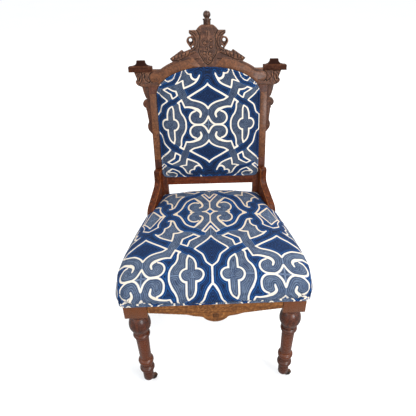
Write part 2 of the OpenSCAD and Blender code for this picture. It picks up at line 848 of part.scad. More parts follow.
// Seat upholstery. The cushion's plan is a half outline from the front middle to the rear
// middle, and its rings are that outline drawn in by a distance d.
seat_front = front_y - seat_overhang;
seat_rear = rear_rail_y + rear_rail_thick + 8;
seat_mid = (seat_front + seat_rear) / 2;
seat_deep = (seat_rear - seat_front) / 2;
corner_r = 38;
foot_corner_r = 26;
rear_r = 16;
front_bow = 5;
side_taper = 0.2;
side_bow = 17;
side_from = front_y + 36;
side_run = back_y + 10 - side_from;
rear_half = seat_half - side_taper * side_run;
function seat_plan(r) = concat(
    [for (i = [0:3]) let (x = (seat_half - r) * i / 4)
        [x, seat_front + front_bow * pow(x / seat_half, 2)]],
    arc(seat_half - r, seat_front + front_bow + r, r, r, -84, 0, 5),
    [for (i = [1:8]) let (u = i / 8) [seat_half - side_taper * side_run * u
        + side_bow * sin(180 * pow(u, 0.55)), side_from + side_run * u]],
    arc(rear_half - rear_r, seat_rear - rear_r, rear_r, rear_r, 20, 90, 3),
    [for (i = [2:-1:0]) [(rear_half - rear_r) * i / 3, seat_rear]]);
welt_bottom = seat_frame_top - welt_drop;
cushion_bottom = welt_bottom + welt_width + soft_gap;
belly_z = cushion_bottom + seat_belly;
seat_tuck = 3;
panel_tuck = 5;
crown_rings = 7;

// Height gained above the widest line when the outline is drawn in by the share u
function crown_rise(u) = sqrt(1 - pow(1 - u, 6));
// Rings of a cushion as [share drawn in, distance drawn in, height]
function cushion_rings(inset, tuck, foot, belly, top) = concat(
    [[0, inset + tuck, foot], [0, inset + tuck * 0.3, foot + (belly - foot) * 0.5]],
    [for (i = [0:crown_rings - 1]) let (u = pow(i / crown_rings, 2) * 0.9)
        [u, inset, belly + (top - belly) * crown_rise(u)]]);
// The outline drawn in, and rounded towards an ellipse as the share grows
function drawn_in(points, mid, half_x, half_y, share, d) = [for (p = points)
    let (k = 1 / norm([p[0] / half_x, (p[1] - mid) / half_y]),
        grow = (1 - share) * (1 - share + share * min(k, 1)))
    [p[0] * grow * (1 - d / half_x), mid + (p[1] - mid) * grow * (1 - d / half_y)]];
function whole(points) =
    concat(points, [for (i = [len(points) - 2:-1:1]) [-points[i][0], points[i][1]]]);

// A closed crowned solid from rings of equal length, with a flat underside and a peak
module ringed(rings, base, peak) {
    n = len(rings[0]);
    m = len(rings);
    points = concat([for (ring = rings) each ring], [base, peak]);
    sides = [for (j = [0:m - 2], i = [0:n - 1]) let (a = j * n + i, b = j * n + (i + 1) % n)
        each [[a, a + n, b + n], [a, b + n, b]]];
    ends = [for (i = [0:n - 1]) let (k = (i + 1) % n, top = (m - 1) * n)
        each [[i, k, m * n], [top + i, m * n + 1, top + k]]];
    polyhedron(points, concat(sides, ends), convexity = 6);
}
module seat_dome(inset, below) {
    foot = cushion_bottom - below;
    top = seat_frame_top + seat_crown - inset;
    rings = [for (r = cushion_rings(inset, seat_tuck, foot, belly_z, top))
        let (full = min((r[2] - foot) / (belly_z - foot), 1),
            plan = seat_plan(foot_corner_r + (corner_r - foot_corner_r) * full))
        [for (p = whole(drawn_in(plan, seat_mid, seat_half, seat_deep, r[0], r[1])))
            [p[0], p[1], r[2]]]];
    ringed(rings, [0, seat_mid, foot], [0, seat_mid, top]);
}
function frame_plan(g, cut) = both([[front_width / 2 + g - cut, front_y - g],
    [front_width / 2 + g, front_y - g + cut], [front_width / 2 + g, block_rear],
    [post_out + g, back_y], [post_out + g, rear_rail_y + rear_rail_thick + g]]);
web_top = seat_frame_top + 2 * web_thick;
hessian_thick = 1;
hessian_edge = 6;
hessian_turn = back_y - bracket_reach - 4;
foot_in = post_out - bracket_width * cos(bracket_flare) + bracket_reach * sin(bracket_flare);
function hessian_plan(g) = both([[front_width / 2 - hessian_edge + g, front_y + hessian_edge - g],
    [front_width / 2 - hessian_edge + g, block_rear],
    [rail_inner_x(hessian_turn) + rail_thick - hessian_edge + g, hessian_turn],
    [foot_in - 2 + g, hessian_turn], [post_in + 13 + g, back_y - 8],
    [post_in - hessian_edge + g, back_y - 8],
    [post_in - hessian_edge + g, rear_rail_y + rear_rail_thick - 4 + g]]);
// Space of the wooden frame and webbing, the posts and the hip brackets, grown by a gap
module seat_clear(gap) {
    linear_extrude(seat_frame_top + gap) polygon(frame_plan(gap, block_cut));
    linear_extrude(web_top + hessian_thick + gap) polygon(hessian_plan(gap));
    for (side = [0, 1]) mirror([side, 0, 0]) {
        translate([post_in - gap, back_y - gap, 0]) cube([far, far, far]);
        difference() {
            in_bracket() translate([-bracket_width - gap, -bracket_reach - gap, -gap])
                cube([far / 4, bracket_reach + 60, far / 4]);
            translate([-far, -far, 0]) cube([far, 2 * far, far]);
        }
    }
}
module seat_cover() {
    color(navy) difference() {
        seat_dome(0, 0);
        seat_dome(cover_thick, 5);
        seat_clear(soft_gap);
    }
}
module seat_stuffing() {
    color(linen) difference() {
        seat_dome(cover_thick + soft_gap, 0);
        seat_clear(soft_gap);
    }
}
module seat_hessian() {
    color(jute) translate([0, 0, web_top]) linear_extrude(hessian_thick) polygon(hessian_plan(0));
}
web_ends = 8;
module seat_webbing() {
    color(jute) {
        for (x = [-102, -34, 34, 102]) translate([x - web_width / 2, front_y + web_ends, seat_frame_top])
            cube([web_width, rear_rail_y + rear_rail_thick - front_y - 2 * web_ends, web_thick]);
        for (y = [-190, -124, -58, 8]) translate([0, y, seat_frame_top + web_thick])
            linear_extrude(web_thick) polygon(both([for (end = [0, 1])
                [rail_inner_x(y + end * web_width) + rail_thick - web_ends, end * web_width]]));
    }
}
module welt_run(gap) {
    translate([0, 0, welt_bottom]) linear_extrude(welt_width) difference() {
        polygon(frame_plan(gap + welt_thick, 1));
        polygon(frame_plan(gap, 0.01));
        translate([-far / 2, back_y - gap]) square([far, far]);
    }
}
module seat_welt() {
    color(slate) {
        welt_run(soft_gap);
        translate([soft_gap - post_in, rear_rail_y + rear_rail_thick + soft_gap, welt_bottom])
            cube([2 * post_in - 2 * soft_gap, welt_thick, welt_width]);
    }
}
dust_thick = 1;
module dust_cover() {
    color(iron) translate([0, 0, rail_bottom - dust_thick]) linear_extrude(dust_thick)
        polygon(both([[block_in - 2, rail_in_front + soft_gap], [block_in - 2, block_rear + 4],
            [rail_inner_x(block_rear) + 6, block_rear + 4],
            [rail_inner_x(back_y - 6) + 6, back_y - 6], [post_in - 3, back_y - 6],
            [post_in - 3, rear_rail_y + 8]]));
}

// Back upholstery, drawn in the plane of the back
panel_mid = (panel_bottom + panel_spring + panel_rise) / 2;
panel_deep = (panel_spring + panel_rise - panel_bottom) / 2;
panel_plan = concat([for (i = [0:2]) [(panel_half - panel_corner) * i / 3, panel_bottom]],
    arc(panel_half - panel_corner, panel_bottom + panel_corner, panel_corner, panel_corner, -90, 0, 5),
    [for (i = [1:3]) [panel_half, panel_bottom + panel_corner
        + (panel_spring - panel_bottom - panel_corner) * i / 4]],
    arc(0, panel_spring, panel_half, panel_rise, 0, 90, 10));

module back_dome(inset, behind) {
    rings = [for (r = cushion_rings(inset + welt_width, panel_tuck, -behind, 7,
        panel_crown - inset))
        [for (p = whole(drawn_in(panel_plan, panel_mid, panel_half, panel_deep, r[0], r[1])))
            [p[0], p[1], r[2]]]];
    in_back() rotate([90, 0, 0]) ringed(rings, [0, panel_mid, -behind],
        [0, panel_mid, panel_crown - inset]);
}
web_front = 2 * web_thick + soft_gap;
module behind_panel(t) {
    in_back() translate([-far / 2, -t, -far / 2]) cube([far, far, far * 1.5]);
}
module back_cover() {
    color(navy) difference() {
        back_dome(0, 0);
        back_dome(cover_thick, 5);
        behind_panel(web_front);
    }
}
module back_stuffing() {
    color(linen) difference() {
        back_dome(cover_thick + soft_gap, 0);
        behind_panel(web_front);
    }
}
module back_welt() {
    color(slate) in_back() board(-soft_gap - welt_thick, welt_thick) difference() {
        polygon(whole(panel_plan));
        polygon(whole(drawn_in(panel_plan, panel_mid, panel_half, panel_deep, 0,
            welt_width - soft_gap)));
    }
}
strap_half = panel_half - welt_width - 0.5;
module back_webbing() {
    color(jute) in_back() {
        for (x = [-70, 0, 70]) {
            strap_out = abs(x) + web_width / 2;
            strap_top = panel_spring + panel_rise * sqrt(1 - pow(strap_out / panel_half, 2)) - 14;
            translate([x - web_width / 2, -2 * web_thick, panel_bottom + welt_width + 2])
                cube([web_width, web_thick, strap_top - panel_bottom - welt_width - 2]);
        }
        for (s = [70, 150, 230]) translate([-strap_half, -web_thick, s])
            cube([2 * strap_half, web_thick, web_width]);
    }
}
outside_thick = 2;
module outside_back() {
    color(slate) in_back() board(max(crest_thick, low_rail_thick) + soft_gap, outside_thick) intersection() {
        ellipse_field(post_in - 1, panel_rise - lap + 14, panel_spring - 12);
        translate([-far / 2, 12]) square([far, far]);
    }
}

crest_board();
left_crest_veneer();
right_crest_veneer();
left_ear_cap();
right_ear_cap();
crest_finial();
crest_dowels();
left_back_post();
right_back_post();
left_post_veneer();
right_post_veneer();
left_side_fret();
right_side_fret();
lower_back_rail();
left_hip_bracket();
right_hip_bracket();
front_seat_rail();
left_side_rail();
right_side_rail();
rear_seat_rail();
corner_braces();
brace_screws();
left_front_leg();
right_front_leg();
seat_webbing();
seat_hessian();
seat_stuffing();
seat_cover();
seat_welt();
dust_cover();
back_webbing();
back_stuffing();
back_cover();
back_welt();
outside_back();
left_caster_socket();
right_caster_socket();
left_caster_horn();
right_caster_horn();
left_caster_axle();
right_caster_axle();
left_caster_wheel();
right_caster_wheel();
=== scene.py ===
import math
import bmesh
import bpy
import numpy as np
from mathutils import Matrix, Vector
from mathutils.bvhtree import BVHTree


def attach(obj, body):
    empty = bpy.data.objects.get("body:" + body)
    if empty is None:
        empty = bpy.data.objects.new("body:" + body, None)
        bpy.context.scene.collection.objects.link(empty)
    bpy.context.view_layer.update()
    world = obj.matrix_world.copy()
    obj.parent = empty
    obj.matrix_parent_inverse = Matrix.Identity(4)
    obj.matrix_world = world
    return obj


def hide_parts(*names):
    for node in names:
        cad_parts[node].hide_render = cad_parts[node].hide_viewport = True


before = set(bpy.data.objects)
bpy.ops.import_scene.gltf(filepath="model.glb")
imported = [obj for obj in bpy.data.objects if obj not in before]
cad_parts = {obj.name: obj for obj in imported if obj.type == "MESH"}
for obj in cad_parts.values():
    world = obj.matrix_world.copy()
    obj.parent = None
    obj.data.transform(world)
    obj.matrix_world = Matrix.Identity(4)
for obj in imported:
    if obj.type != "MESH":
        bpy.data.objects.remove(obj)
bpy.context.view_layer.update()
scene = bpy.context.scene
scene.view_settings.view_transform = "Standard"

# Settings and shapes are in millimetres. toMesh and writePoints turn them into metres.
perMetre = 1000.0
tiny, farAway = 1e-9, 1e9

# The back is laid out on its own plane: x across, s up the plane, t behind it.
back = {"y": 167.0, "z": 491.0, "lean": math.radians(10)}
backSin, backCos = math.sin(back["lean"]), math.cos(back["lean"])


def onBack(x, s, t):
    return (x, back["y"] + s * backSin + t * backCos, back["z"] + s * backCos - t * backSin)


def fromBack(p):
    y, z = p[:, 1] - back["y"], p[:, 2] - back["z"]
    return p[:, 0], y * backSin + z * backCos, y * backCos - z * backSin


def smoothStep(value, low, high):
    part = np.clip((value - low) / (high - low), 0, 1)
    return part * part * (3 - 2 * part)


# The woven strapwork, in millimetres of cloth: u runs from the line of kites to the line of
# scroll groups, v from the row of quatrefoils to the row of lozenges. It is mirrored at each.
weave = {
    "halfWidth": 188, "halfHeight": 247, "line": 1.9, "rib": 4.3,
    "petals": [(66, 19), (41, 18)],  # place along u and radius
    "voluteLow": {"centre": (149, 23.5), "radius": 22.5, "start": 100, "end": 270},
    "voluteHigh": {"centre": (47, 224), "radius": 20, "start": 235, "end": 420},
    "straight": ["spikeTop", "elbow", "chevronOut", "chevronEnd", "chevronIn", "gemInner"],
}


def arcPoints(centre, radius, start, end, steps=12):
    angles = [math.radians(start + (end - start) * i / steps) for i in range(steps + 1)]
    return [(centre[0] + radius * math.cos(a), centre[1] + radius * math.sin(a)) for a in angles]


# A smooth curve that passes through all the points.
def throughPoints(points, steps=5):
    p = np.array([points[0]] + list(points) + [points[-1]], float)
    out = []
    for i in range(1, len(p) - 2):
        for k in range(steps):
            t = k / steps
            a, b, c, d = p[i - 1:i + 3]
            out.append(tuple(0.5 * (2 * b + (c - a) * t + (2 * a - 5 * b + 4 * c - d) * t ** 2
                                    + (3 * b - a - 3 * c + d) * t ** 3)))
    return out + [tuple(points[-1])]


curves = {
    "kiteLow": [(0, 24), (14, 38), (19, 50), (25, 68), (37, 81), (47, 91)],
    "kiteHigh": [(47, 91), (41, 99), (22, 117), (9, 131), (0, 145)],
    "bowSide": [(87, 80), (92, 71), (93, 54), (98, 39), (107, 27), (113, 13), (114, 0)],
    "spikeTop": [(100, 88), (87, 80)],
    "spikeSide": [(100, 88), (106, 74), (112, 59)],
    "scrollUnder": [(112, 59), (124, 60), (139, 57), (152, 51)],
    "scrollHook": [(152, 51), (160, 45), (164, 36), (161, 26)],
    "starLow": [(188, 54), (180, 66), (166, 76), (150, 82), (136, 86), (124, 95)],
    "starHigh": [(124, 95), (146, 110), (168, 124), (180, 133), (188, 141)],
    "wingLow": [(162, 160), (149, 147), (134, 137), (112, 127)],
    "wingFoot": [(112, 127), (109, 143), (108, 159)],
    "wingHeel": [(108, 159), (95, 160), (82, 165)],
    "waveSide": [(82, 165), (92, 172), (101, 188), (106, 203), (111, 215), (118, 219)],
    "blobHigh": [(126, 219), (118, 219), (119, 208), (119, 199), (125, 189), (135, 184)],
    "blobLow": [(135, 184), (137, 170), (144, 159), (154, 155), (162, 160)],
    "pearSide": [(112, 247), (100, 240), (92, 233), (86, 223), (81, 211), (74, 197), (62, 187), (49, 181)],
    "pearFoot": [(49, 181), (43, 187), (37, 195)],
    "pearHook": [(37, 195), (28, 206), (23, 217), (25, 225), (32, 229)],
    "chevronOut": [(0, 204), (12, 185), (25, 166)],
    "chevronEnd": [(25, 166), (16, 161)],
    "chevronIn": [(16, 161), (8, 173), (0, 185)],
    "eyeSide": [(165, 1), (173, 5), (181, 14), (188, 28)],
    "diamondSide": [(0, 232), (6, 240), (14, 247)],
    "gemInner": [(188, 200), (151, 247)],
    "gemFoot": [(188, 180), (170, 188), (157, 196)],
    "gemSide": [(157, 196), (158, 210), (152, 227), (140, 247)],
    "elbow": [(86, 113), (81, 133), (50, 153), (33, 144), (61, 125), (67, 103), (86, 113)],
}
smooth = {name: points if name in weave["straight"] else throughPoints(points) for name, points in curves.items()}
rimLow, rimHigh = arcPoints(**weave["voluteLow"]), arcPoints(**weave["voluteHigh"])
ogive = throughPoints([(43, 0), (43, 28), (45, 41), (51, 54), (64, 66)]) + [(68, 50), (68, 0)]


def joined(*parts):
    return [point for part in parts for point in part]


slateFields = [
    joined([(188, 0)], smooth["starLow"], [(112, 127)], smooth["wingFoot"], smooth["wingHeel"],
           [(60, 163), (45, 157), (33, 150), (17, 148), (16, 161)], [(0, 185), (0, 145)],
           smooth["kiteHigh"][::-1], [(67, 103), (86, 113), (100, 88)], smooth["spikeSide"],
           smooth["scrollUnder"], smooth["scrollHook"][:4], rimLow),
    joined([(114, 0)], smooth["bowSide"][::-1], [(64, 66), (64, 0)]),
    joined(smooth["wingLow"], smooth["wingFoot"], smooth["wingHeel"], smooth["waveSide"],
           smooth["blobHigh"][5:], smooth["blobLow"]),
    joined([(0, 247), (0, 204), (25, 166)], smooth["pearFoot"], rimHigh, [(54, 247)]),
    [(188, 200), (151, 247), (188, 247)],
]
navyFields = [
    smooth["elbow"][:-1],
    [(0, 204), (25, 166), (16, 161), (0, 185)],
    [(0, 232), (14, 247), (0, 247)],
]

# Half widths of the cream lines that widen or narrow, from their first point to their last.
thick = {"spikeTop": (2.6, 3.2), "scrollUnder": (1.9, 3.6), "scrollHook": (4.4, 1.6),
         "pearFoot": (1.8, 3.2), "pearHook": (3.4, 1.8), "starHigh": (2.4, 1.9)}
extraLines = [
    (rimLow, 2.0, 1.8), (rimHigh, 1.8, 1.9), ([(0, -20), (0, 24)], 1.3, 2.4), ([(149, 1), (168, 0.5)], 1.7, 2.0),
    ([(0, 204), (0, 232)], 1.4, 1.4), ([(14, 247), (24, 247)], 2.6, 1.0), ([(112, 247), (102, 244)], 1.2, 2.6),
    ([(137, 247), (152, 247)], 1.2, 4.2), ([(49, 247), (59, 246)], 1.0, 3.0),
]


# Distance from a line that is drawn with a changing half width. It is below zero inside the line.
def strokeField(points, u, v, start, end=None):
    p = np.array(points, float)
    reach = np.concatenate([[0], np.cumsum(np.hypot(*(p[1:] - p[:-1]).T))])
    reach /= max(reach[-1], tiny)
    best = np.full(u.shape, farAway)
    end = start if end is None else end
    for a, b, ra, rb in zip(p[:-1], p[1:], reach[:-1], reach[1:]):
        step = b - a
        t = np.clip(((u - a[0]) * step[0] + (v - a[1]) * step[1]) / max(step @ step, tiny), 0, 1)
        wide = start + (end - start) * (ra + (rb - ra) * t)
        best = np.minimum(best, np.hypot(u - a[0] - t * step[0], v - a[1] - t * step[1]) - wide)
    return best


def insideOf(polygon, u, v):
    hit = np.zeros(u.shape, bool)
    for (ax, ay), (bx, by) in zip(polygon, polygon[1:] + polygon[:1]):
        if ay != by:
            hit ^= ((ay > v) != (by > v)) & (u < (bx - ax) * (v - ay) / (by - ay) + ax)
    return hit


def fieldSide(polygon, u, v):
    away = strokeField(list(polygon) + [polygon[0]], u, v, 0)
    return np.where(insideOf(polygon, u, v), -away, away)


def weavePattern(u, v):
    wide, high = weave["halfWidth"], weave["halfHeight"]
    u = np.abs(np.mod(u + wide, 2 * wide) - wide)
    v = np.abs(np.mod(v + high, 2 * high) - high)
    line = np.full(u.shape, farAway)
    for name, points in smooth.items():
        line = np.minimum(line, strokeField(points, u, v, *thick.get(name, (weave["line"],))))
    for points, start, end in extraLines:
        line = np.minimum(line, strokeField(points, u, v, start, end))
    quatrefoil = fieldSide(ogive, u, v)
    for along, radius in weave["petals"]:
        quatrefoil = np.minimum(quatrefoil, np.hypot(u - along, v) - radius)
    slate = np.min([fieldSide(list(f), u, v) for f in slateFields], axis=0)
    navy = np.min([fieldSide(list(f), u, v) for f in navyFields], axis=0)
    slate = np.minimum(np.maximum(slate, -navy), quatrefoil)
    return slate, np.minimum(line, np.abs(quatrefoil) - weave["line"])


# The photo's camera. Its focal length, centre and frame are in pixels.
view = {"at": (-17.418, -1037.536, 1270.393), "yaw": 0.04762635, "pitch": 0.62052592, "roll": -0.0010431,
        "focal": 428.137, "centre": (222.63, 202.81), "frame": 416, "sensor": 36, "clip": (0.01, 50)}
sinYaw, cosYaw = math.sin(view["yaw"]), math.cos(view["yaw"])
sinPitch, cosPitch = math.sin(view["pitch"]), math.cos(view["pitch"])
forward = Vector((sinYaw * cosPitch, cosYaw * cosPitch, -sinPitch))
right = Vector((cosYaw, -sinYaw, 0))
up = right.cross(forward)
lens = bpy.data.cameras.new("camera")
lens.sensor_width = view["sensor"]
lens.lens = view["focal"] * view["sensor"] / view["frame"]
lens.shift_x = (view["frame"] / 2 - view["centre"][0]) / view["frame"]
lens.shift_y = (view["centre"][1] - view["frame"] / 2) / view["frame"]
lens.clip_start, lens.clip_end = view["clip"]
camera = bpy.data.objects.new("camera", lens)
scene.collection.objects.link(camera)
turn = Matrix((right, up, -forward)).transposed() @ Matrix.Rotation(view["roll"], 3, "Z")
camera.matrix_world = Matrix.Translation(Vector(view["at"]) / perMetre) @ turn.to_4x4()
scene.camera = camera

# Soft studio light. Lamps: name, place in metres, size, watts, colour.
studio = {
    "sky": (0.97, 0.985, 1.0, 1), "strength": 1.035, "aim": (0, 0, 0.45),
    "lamps": [("key", (1.5, -1.5, 2.7), 1.3, 44, (1.0, 0.98, 0.95)),
              ("fill", (-2.1, -1.3, 1.7), 1.8, 10, (0.93, 0.96, 1.0)),
              ("window", (1.15, -2.3, 1.0), 1.0, 26, (0.9, 0.95, 1.0)),
              ("rear", (0.6, 2.0, 2.2), 1.4, 26, (1.0, 0.97, 0.93))],
}
sky = bpy.data.worlds.new("studio")
scene.world = sky
sky.use_nodes = True
sky.node_tree.nodes["Background"].inputs["Color"].default_value = studio["sky"]
sky.node_tree.nodes["Background"].inputs["Strength"].default_value = studio["strength"]
for name, at, size, power, colour in studio["lamps"]:
    lamp = bpy.data.lights.new(name, "AREA")
    lamp.shape = "DISK"
    lamp.size, lamp.energy, lamp.color = size, power, colour
    light = bpy.data.objects.new(name, lamp)
    scene.collection.objects.link(light)
    light.location = at
    light.rotation_euler = (Vector(studio["aim"]) - Vector(at)).to_track_quat("-Z", "Y").to_euler()
print("stage: camera and lights")


# Short ways to place shader nodes. Each returns the socket that the next node takes.
class Graph:
    def __init__(self, tree):
        self.tree = tree

    def feed(self, socket, value):
        if isinstance(value, bpy.types.NodeSocket):
            self.tree.links.new(value, socket)
        else:
            socket.default_value = value

    def add(self, kind, inputs=None, **settings):
        node = self.tree.nodes.new(kind)
        for key, value in settings.items():
            setattr(node, key, value)
        for key, value in (inputs or {}).items():
            self.feed(node.inputs[key], value)
        return node

    def sum(self, operation, first, second=0.0, clamp=False):
        return self.add("ShaderNodeMath", {0: first, 1: second}, operation=operation, use_clamp=clamp).outputs[0]

    def noise(self, vector, scale, detail=2.0, rough=0.5, distortion=0.0):
        return self.add("ShaderNodeTexNoise", {"Vector": vector, "Scale": scale, "Detail": detail,
                                               "Roughness": rough, "Distortion": distortion}).outputs["Fac"]

    def span(self, value, low, high, toLow=0.0, toHigh=1.0):
        return self.add("ShaderNodeMapRange", {"Value": value, "From Min": low, "From Max": high, "To Min": toLow,
                                               "To Max": toHigh}, interpolation_type="SMOOTHSTEP").outputs["Result"]

    def blend(self, factor, first, second):
        return self.add("ShaderNodeMix", {0: factor, 6: first, 7: second}, data_type="RGBA").outputs[2]

    def tones(self, factor, pair):
        return self.blend(factor, tint(pair[0]), tint(pair[1]))

    def bump(self, height, strength, distance, normal=None):
        inputs = {"Height": height, "Strength": strength, "Distance": distance}
        if normal is not None:
            inputs["Normal"] = normal
        return self.add("ShaderNodeBump", inputs).outputs["Normal"]

    def attribute(self, name):
        return self.add("ShaderNodeAttribute", attribute_name=name).outputs["Fac"]


# A screen colour of 0 to 255 as Blender's linear colour, darkened by share.
def tint(colour, share=1.0):
    parts = [c * share / 255 for c in colour]
    return tuple(c / 12.92 if c < 0.04045 else ((c + 0.055) / 1.055) ** 2.4 for c in parts) + (1.0,)


def newGroup(name, inputs, outputs):
    tree = bpy.data.node_groups.new(name, "ShaderNodeTree")
    for socketName, kind in inputs:
        tree.interface.new_socket(socketName, in_out="INPUT", socket_type=kind)
    for socketName, kind in outputs:
        tree.interface.new_socket(socketName, in_out="OUTPUT", socket_type=kind)
    graph = Graph(tree)
    return tree, graph, graph.add("NodeGroupInput").outputs, graph.add("NodeGroupOutput").inputs


def startMaterial(name):
    material = bpy.data.materials.new(name)
    material.use_nodes = True
    graph = Graph(material.node_tree)
    place = graph.add("ShaderNodeTexCoord").outputs["Object"]
    return material, graph, place, material.node_tree.nodes["Principled BSDF"].inputs


# Straight-grained wood, with its grain along Z: broad figure, fine streaks, open pores, and a height for bump.
grain = {"warp": 9.0, "warpBy": (0.016, 0.016, 0.02), "drawn": (1.0, 1.0, 0.055),
         "broad": 95.0, "streaks": 780.0, "pores": 1750.0}
woodOutputs = [("Figure", "NodeSocketFloat"), ("Pores", "NodeSocketFloat"), ("Height", "NodeSocketFloat")]
woodTree, g, gIn, gOut = newGroup("woodFigure", [("Vector", "NodeSocketVector")], woodOutputs)
warp = g.add("ShaderNodeTexNoise", {"Vector": gIn["Vector"], "Scale": grain["warp"], "Detail": 2.0}).outputs["Color"]
sway = g.add("ShaderNodeVectorMath", {0: warp, 1: (0.5, 0.5, 0.5)}, operation="SUBTRACT").outputs[0]
swayed = g.add("ShaderNodeVectorMath", {0: sway, 1: grain["warpBy"], 2: gIn["Vector"]},
               operation="MULTIPLY_ADD").outputs[0]
drawnOut = g.add("ShaderNodeVectorMath", {0: swayed, 1: grain["drawn"]}, operation="MULTIPLY").outputs[0]
broad = g.noise(drawnOut, grain["broad"], 3.0, 0.6, 0.4)
streak = g.noise(drawnOut, grain["streaks"], 2.0, 0.6)
pores = g.span(g.noise(drawnOut, grain["pores"], 1.0, 0.5), 0.57, 0.68)
figure = g.sum("ADD", g.sum("MULTIPLY", g.span(broad, 0.3, 0.7), 0.62), g.sum("MULTIPLY", streak, 0.5))
g.feed(gOut["Figure"], g.sum("SUBTRACT", figure, 0.06, True))
g.feed(gOut["Pores"], pores)
g.feed(gOut["Height"], g.sum("SUBTRACT", g.sum("MULTIPLY", streak, 0.35), g.sum("MULTIPLY", pores, 0.8)))

# Burl: swirled figure with small dark eyes.
burlGrain = {"swirl": 62.0, "swirlTwist": 2.6, "curl": 190.0, "curlTwist": 1.4, "eyes": 150.0}
burlTree, g, gIn, gOut = newGroup("burlFigure", [("Vector", "NodeSocketVector")], woodOutputs)
swirl = g.noise(gIn["Vector"], burlGrain["swirl"], 4.0, 0.62, burlGrain["swirlTwist"])
curl = g.noise(gIn["Vector"], burlGrain["curl"], 3.0, 0.6, burlGrain["curlTwist"])
eyes = g.add("ShaderNodeTexVoronoi", {"Vector": gIn["Vector"], "Scale": burlGrain["eyes"]}).outputs["Distance"]
swirls = g.sum("MULTIPLY", g.span(swirl, 0.32, 0.68), 0.65)
g.feed(gOut["Figure"], g.sum("ADD", swirls, g.sum("MULTIPLY", curl, 0.4), True))
g.feed(gOut["Pores"], g.sum("MULTIPLY", g.span(eyes, 0.16, 0.30, 1.0, 0.0), 0.8))
g.feed(gOut["Height"], g.sum("MULTIPLY", curl, 0.4))

# Which way each wood's grain runs, as the turn that brings it to Z.
grainTurns = {"x": (0, math.radians(90), 0), "y": (math.radians(90), 0, 0), "z": (0, 0, 0),
              "back": (back["lean"], 0, 0)}

# What the woods share: the scales of their noises, how dark the figure gets, and the old polish.
polish = {"patches": 16.0, "speckle": 120.0, "rubbing": 75.0, "scuffs": 130.0, "dents": 38.0,
          "patchShade": 0.72, "poreShade": 0.5, "speckleShade": 0.6, "coatRough": 0.22}


# edge is the tone of worn edges, worn lighter and also a painted highlight; deep that of hollows, old polish and also
# painted shade. Each band is heights in metres, a tone and its share.
def woodMaterial(name, along, light, dark, edge, deep, rough=0.36, coat=0.3, gloss=0.28, worn=0.3, burl=False,
                 bands=()):
    material, g, place, shader = startMaterial(name)
    turned = g.add("ShaderNodeMapping", {"Vector": place, "Rotation": grainTurns[along]}).outputs[0]
    figured = g.add("ShaderNodeGroup", {"Vector": turned}, node_tree=burlTree if burl else woodTree).outputs
    patches = g.noise(place, polish["patches"], 3.0, 0.6)
    colour = g.blend(figured["Figure"], tint(dark), tint(light))
    colour = g.blend(g.span(patches, 0.35, 0.7, 0.0, 0.3), colour, tint(dark, polish["patchShade"]))
    colour = g.blend(g.sum("MULTIPLY", figured["Pores"], 0.55), colour, tint(dark, polish["poreShade"]))
    speckle = g.noise(place, polish["speckle"], 3.0, 0.65)
    colour = g.blend(g.span(speckle, 0.52, 0.68, 0.0, worn), colour, tint(edge))
    colour = g.blend(g.span(speckle, 0.48, 0.34, 0.0, worn), colour, tint(dark, polish["speckleShade"]))
    if bands:
        height = g.add("ShaderNodeSeparateXYZ", {"Vector": place}).outputs["Z"]
        for low, high, tone, share in bands:
            colour = g.blend(g.span(height, low, high, 0.0, share), colour, tint(tone))
    # Edges are lightened and hollows darkened from the mesh's "edge" and "deep" marks: wear and old polish, with a
    # painted highlight and painted shade.
    rubbing = g.span(g.noise(place, polish["rubbing"], 3.0, 0.7), 0.33, 0.62, 0.25, 1.0)
    rubbedAndHighlit = g.sum("MULTIPLY", g.sum("MULTIPLY", g.attribute("edge"), rubbing), 0.75)
    sunk = g.attribute("deep")
    colour = g.blend(g.sum("MULTIPLY", sunk, 0.85), g.blend(rubbedAndHighlit, colour, tint(edge)), tint(deep))
    scuffs = g.span(g.noise(place, polish["scuffs"], 4.0, 0.65), 0.35, 0.75, rough - 0.05, rough + 0.14)
    g.feed(shader["Base Color"], colour)
    g.feed(shader["Roughness"], g.sum("ADD", scuffs, g.sum("MULTIPLY", sunk, 0.2)))
    shader["Coat Weight"].default_value = coat
    shader["Coat Roughness"].default_value = polish["coatRough"]
    shader["Specular IOR Level"].default_value = gloss
    dents = g.noise(place, polish["dents"], 2.0, 0.5)
    g.feed(shader["Normal"], g.bump(dents, 0.25, 0.0025, g.bump(figured["Height"], 0.35, 0.0006)))
    return material


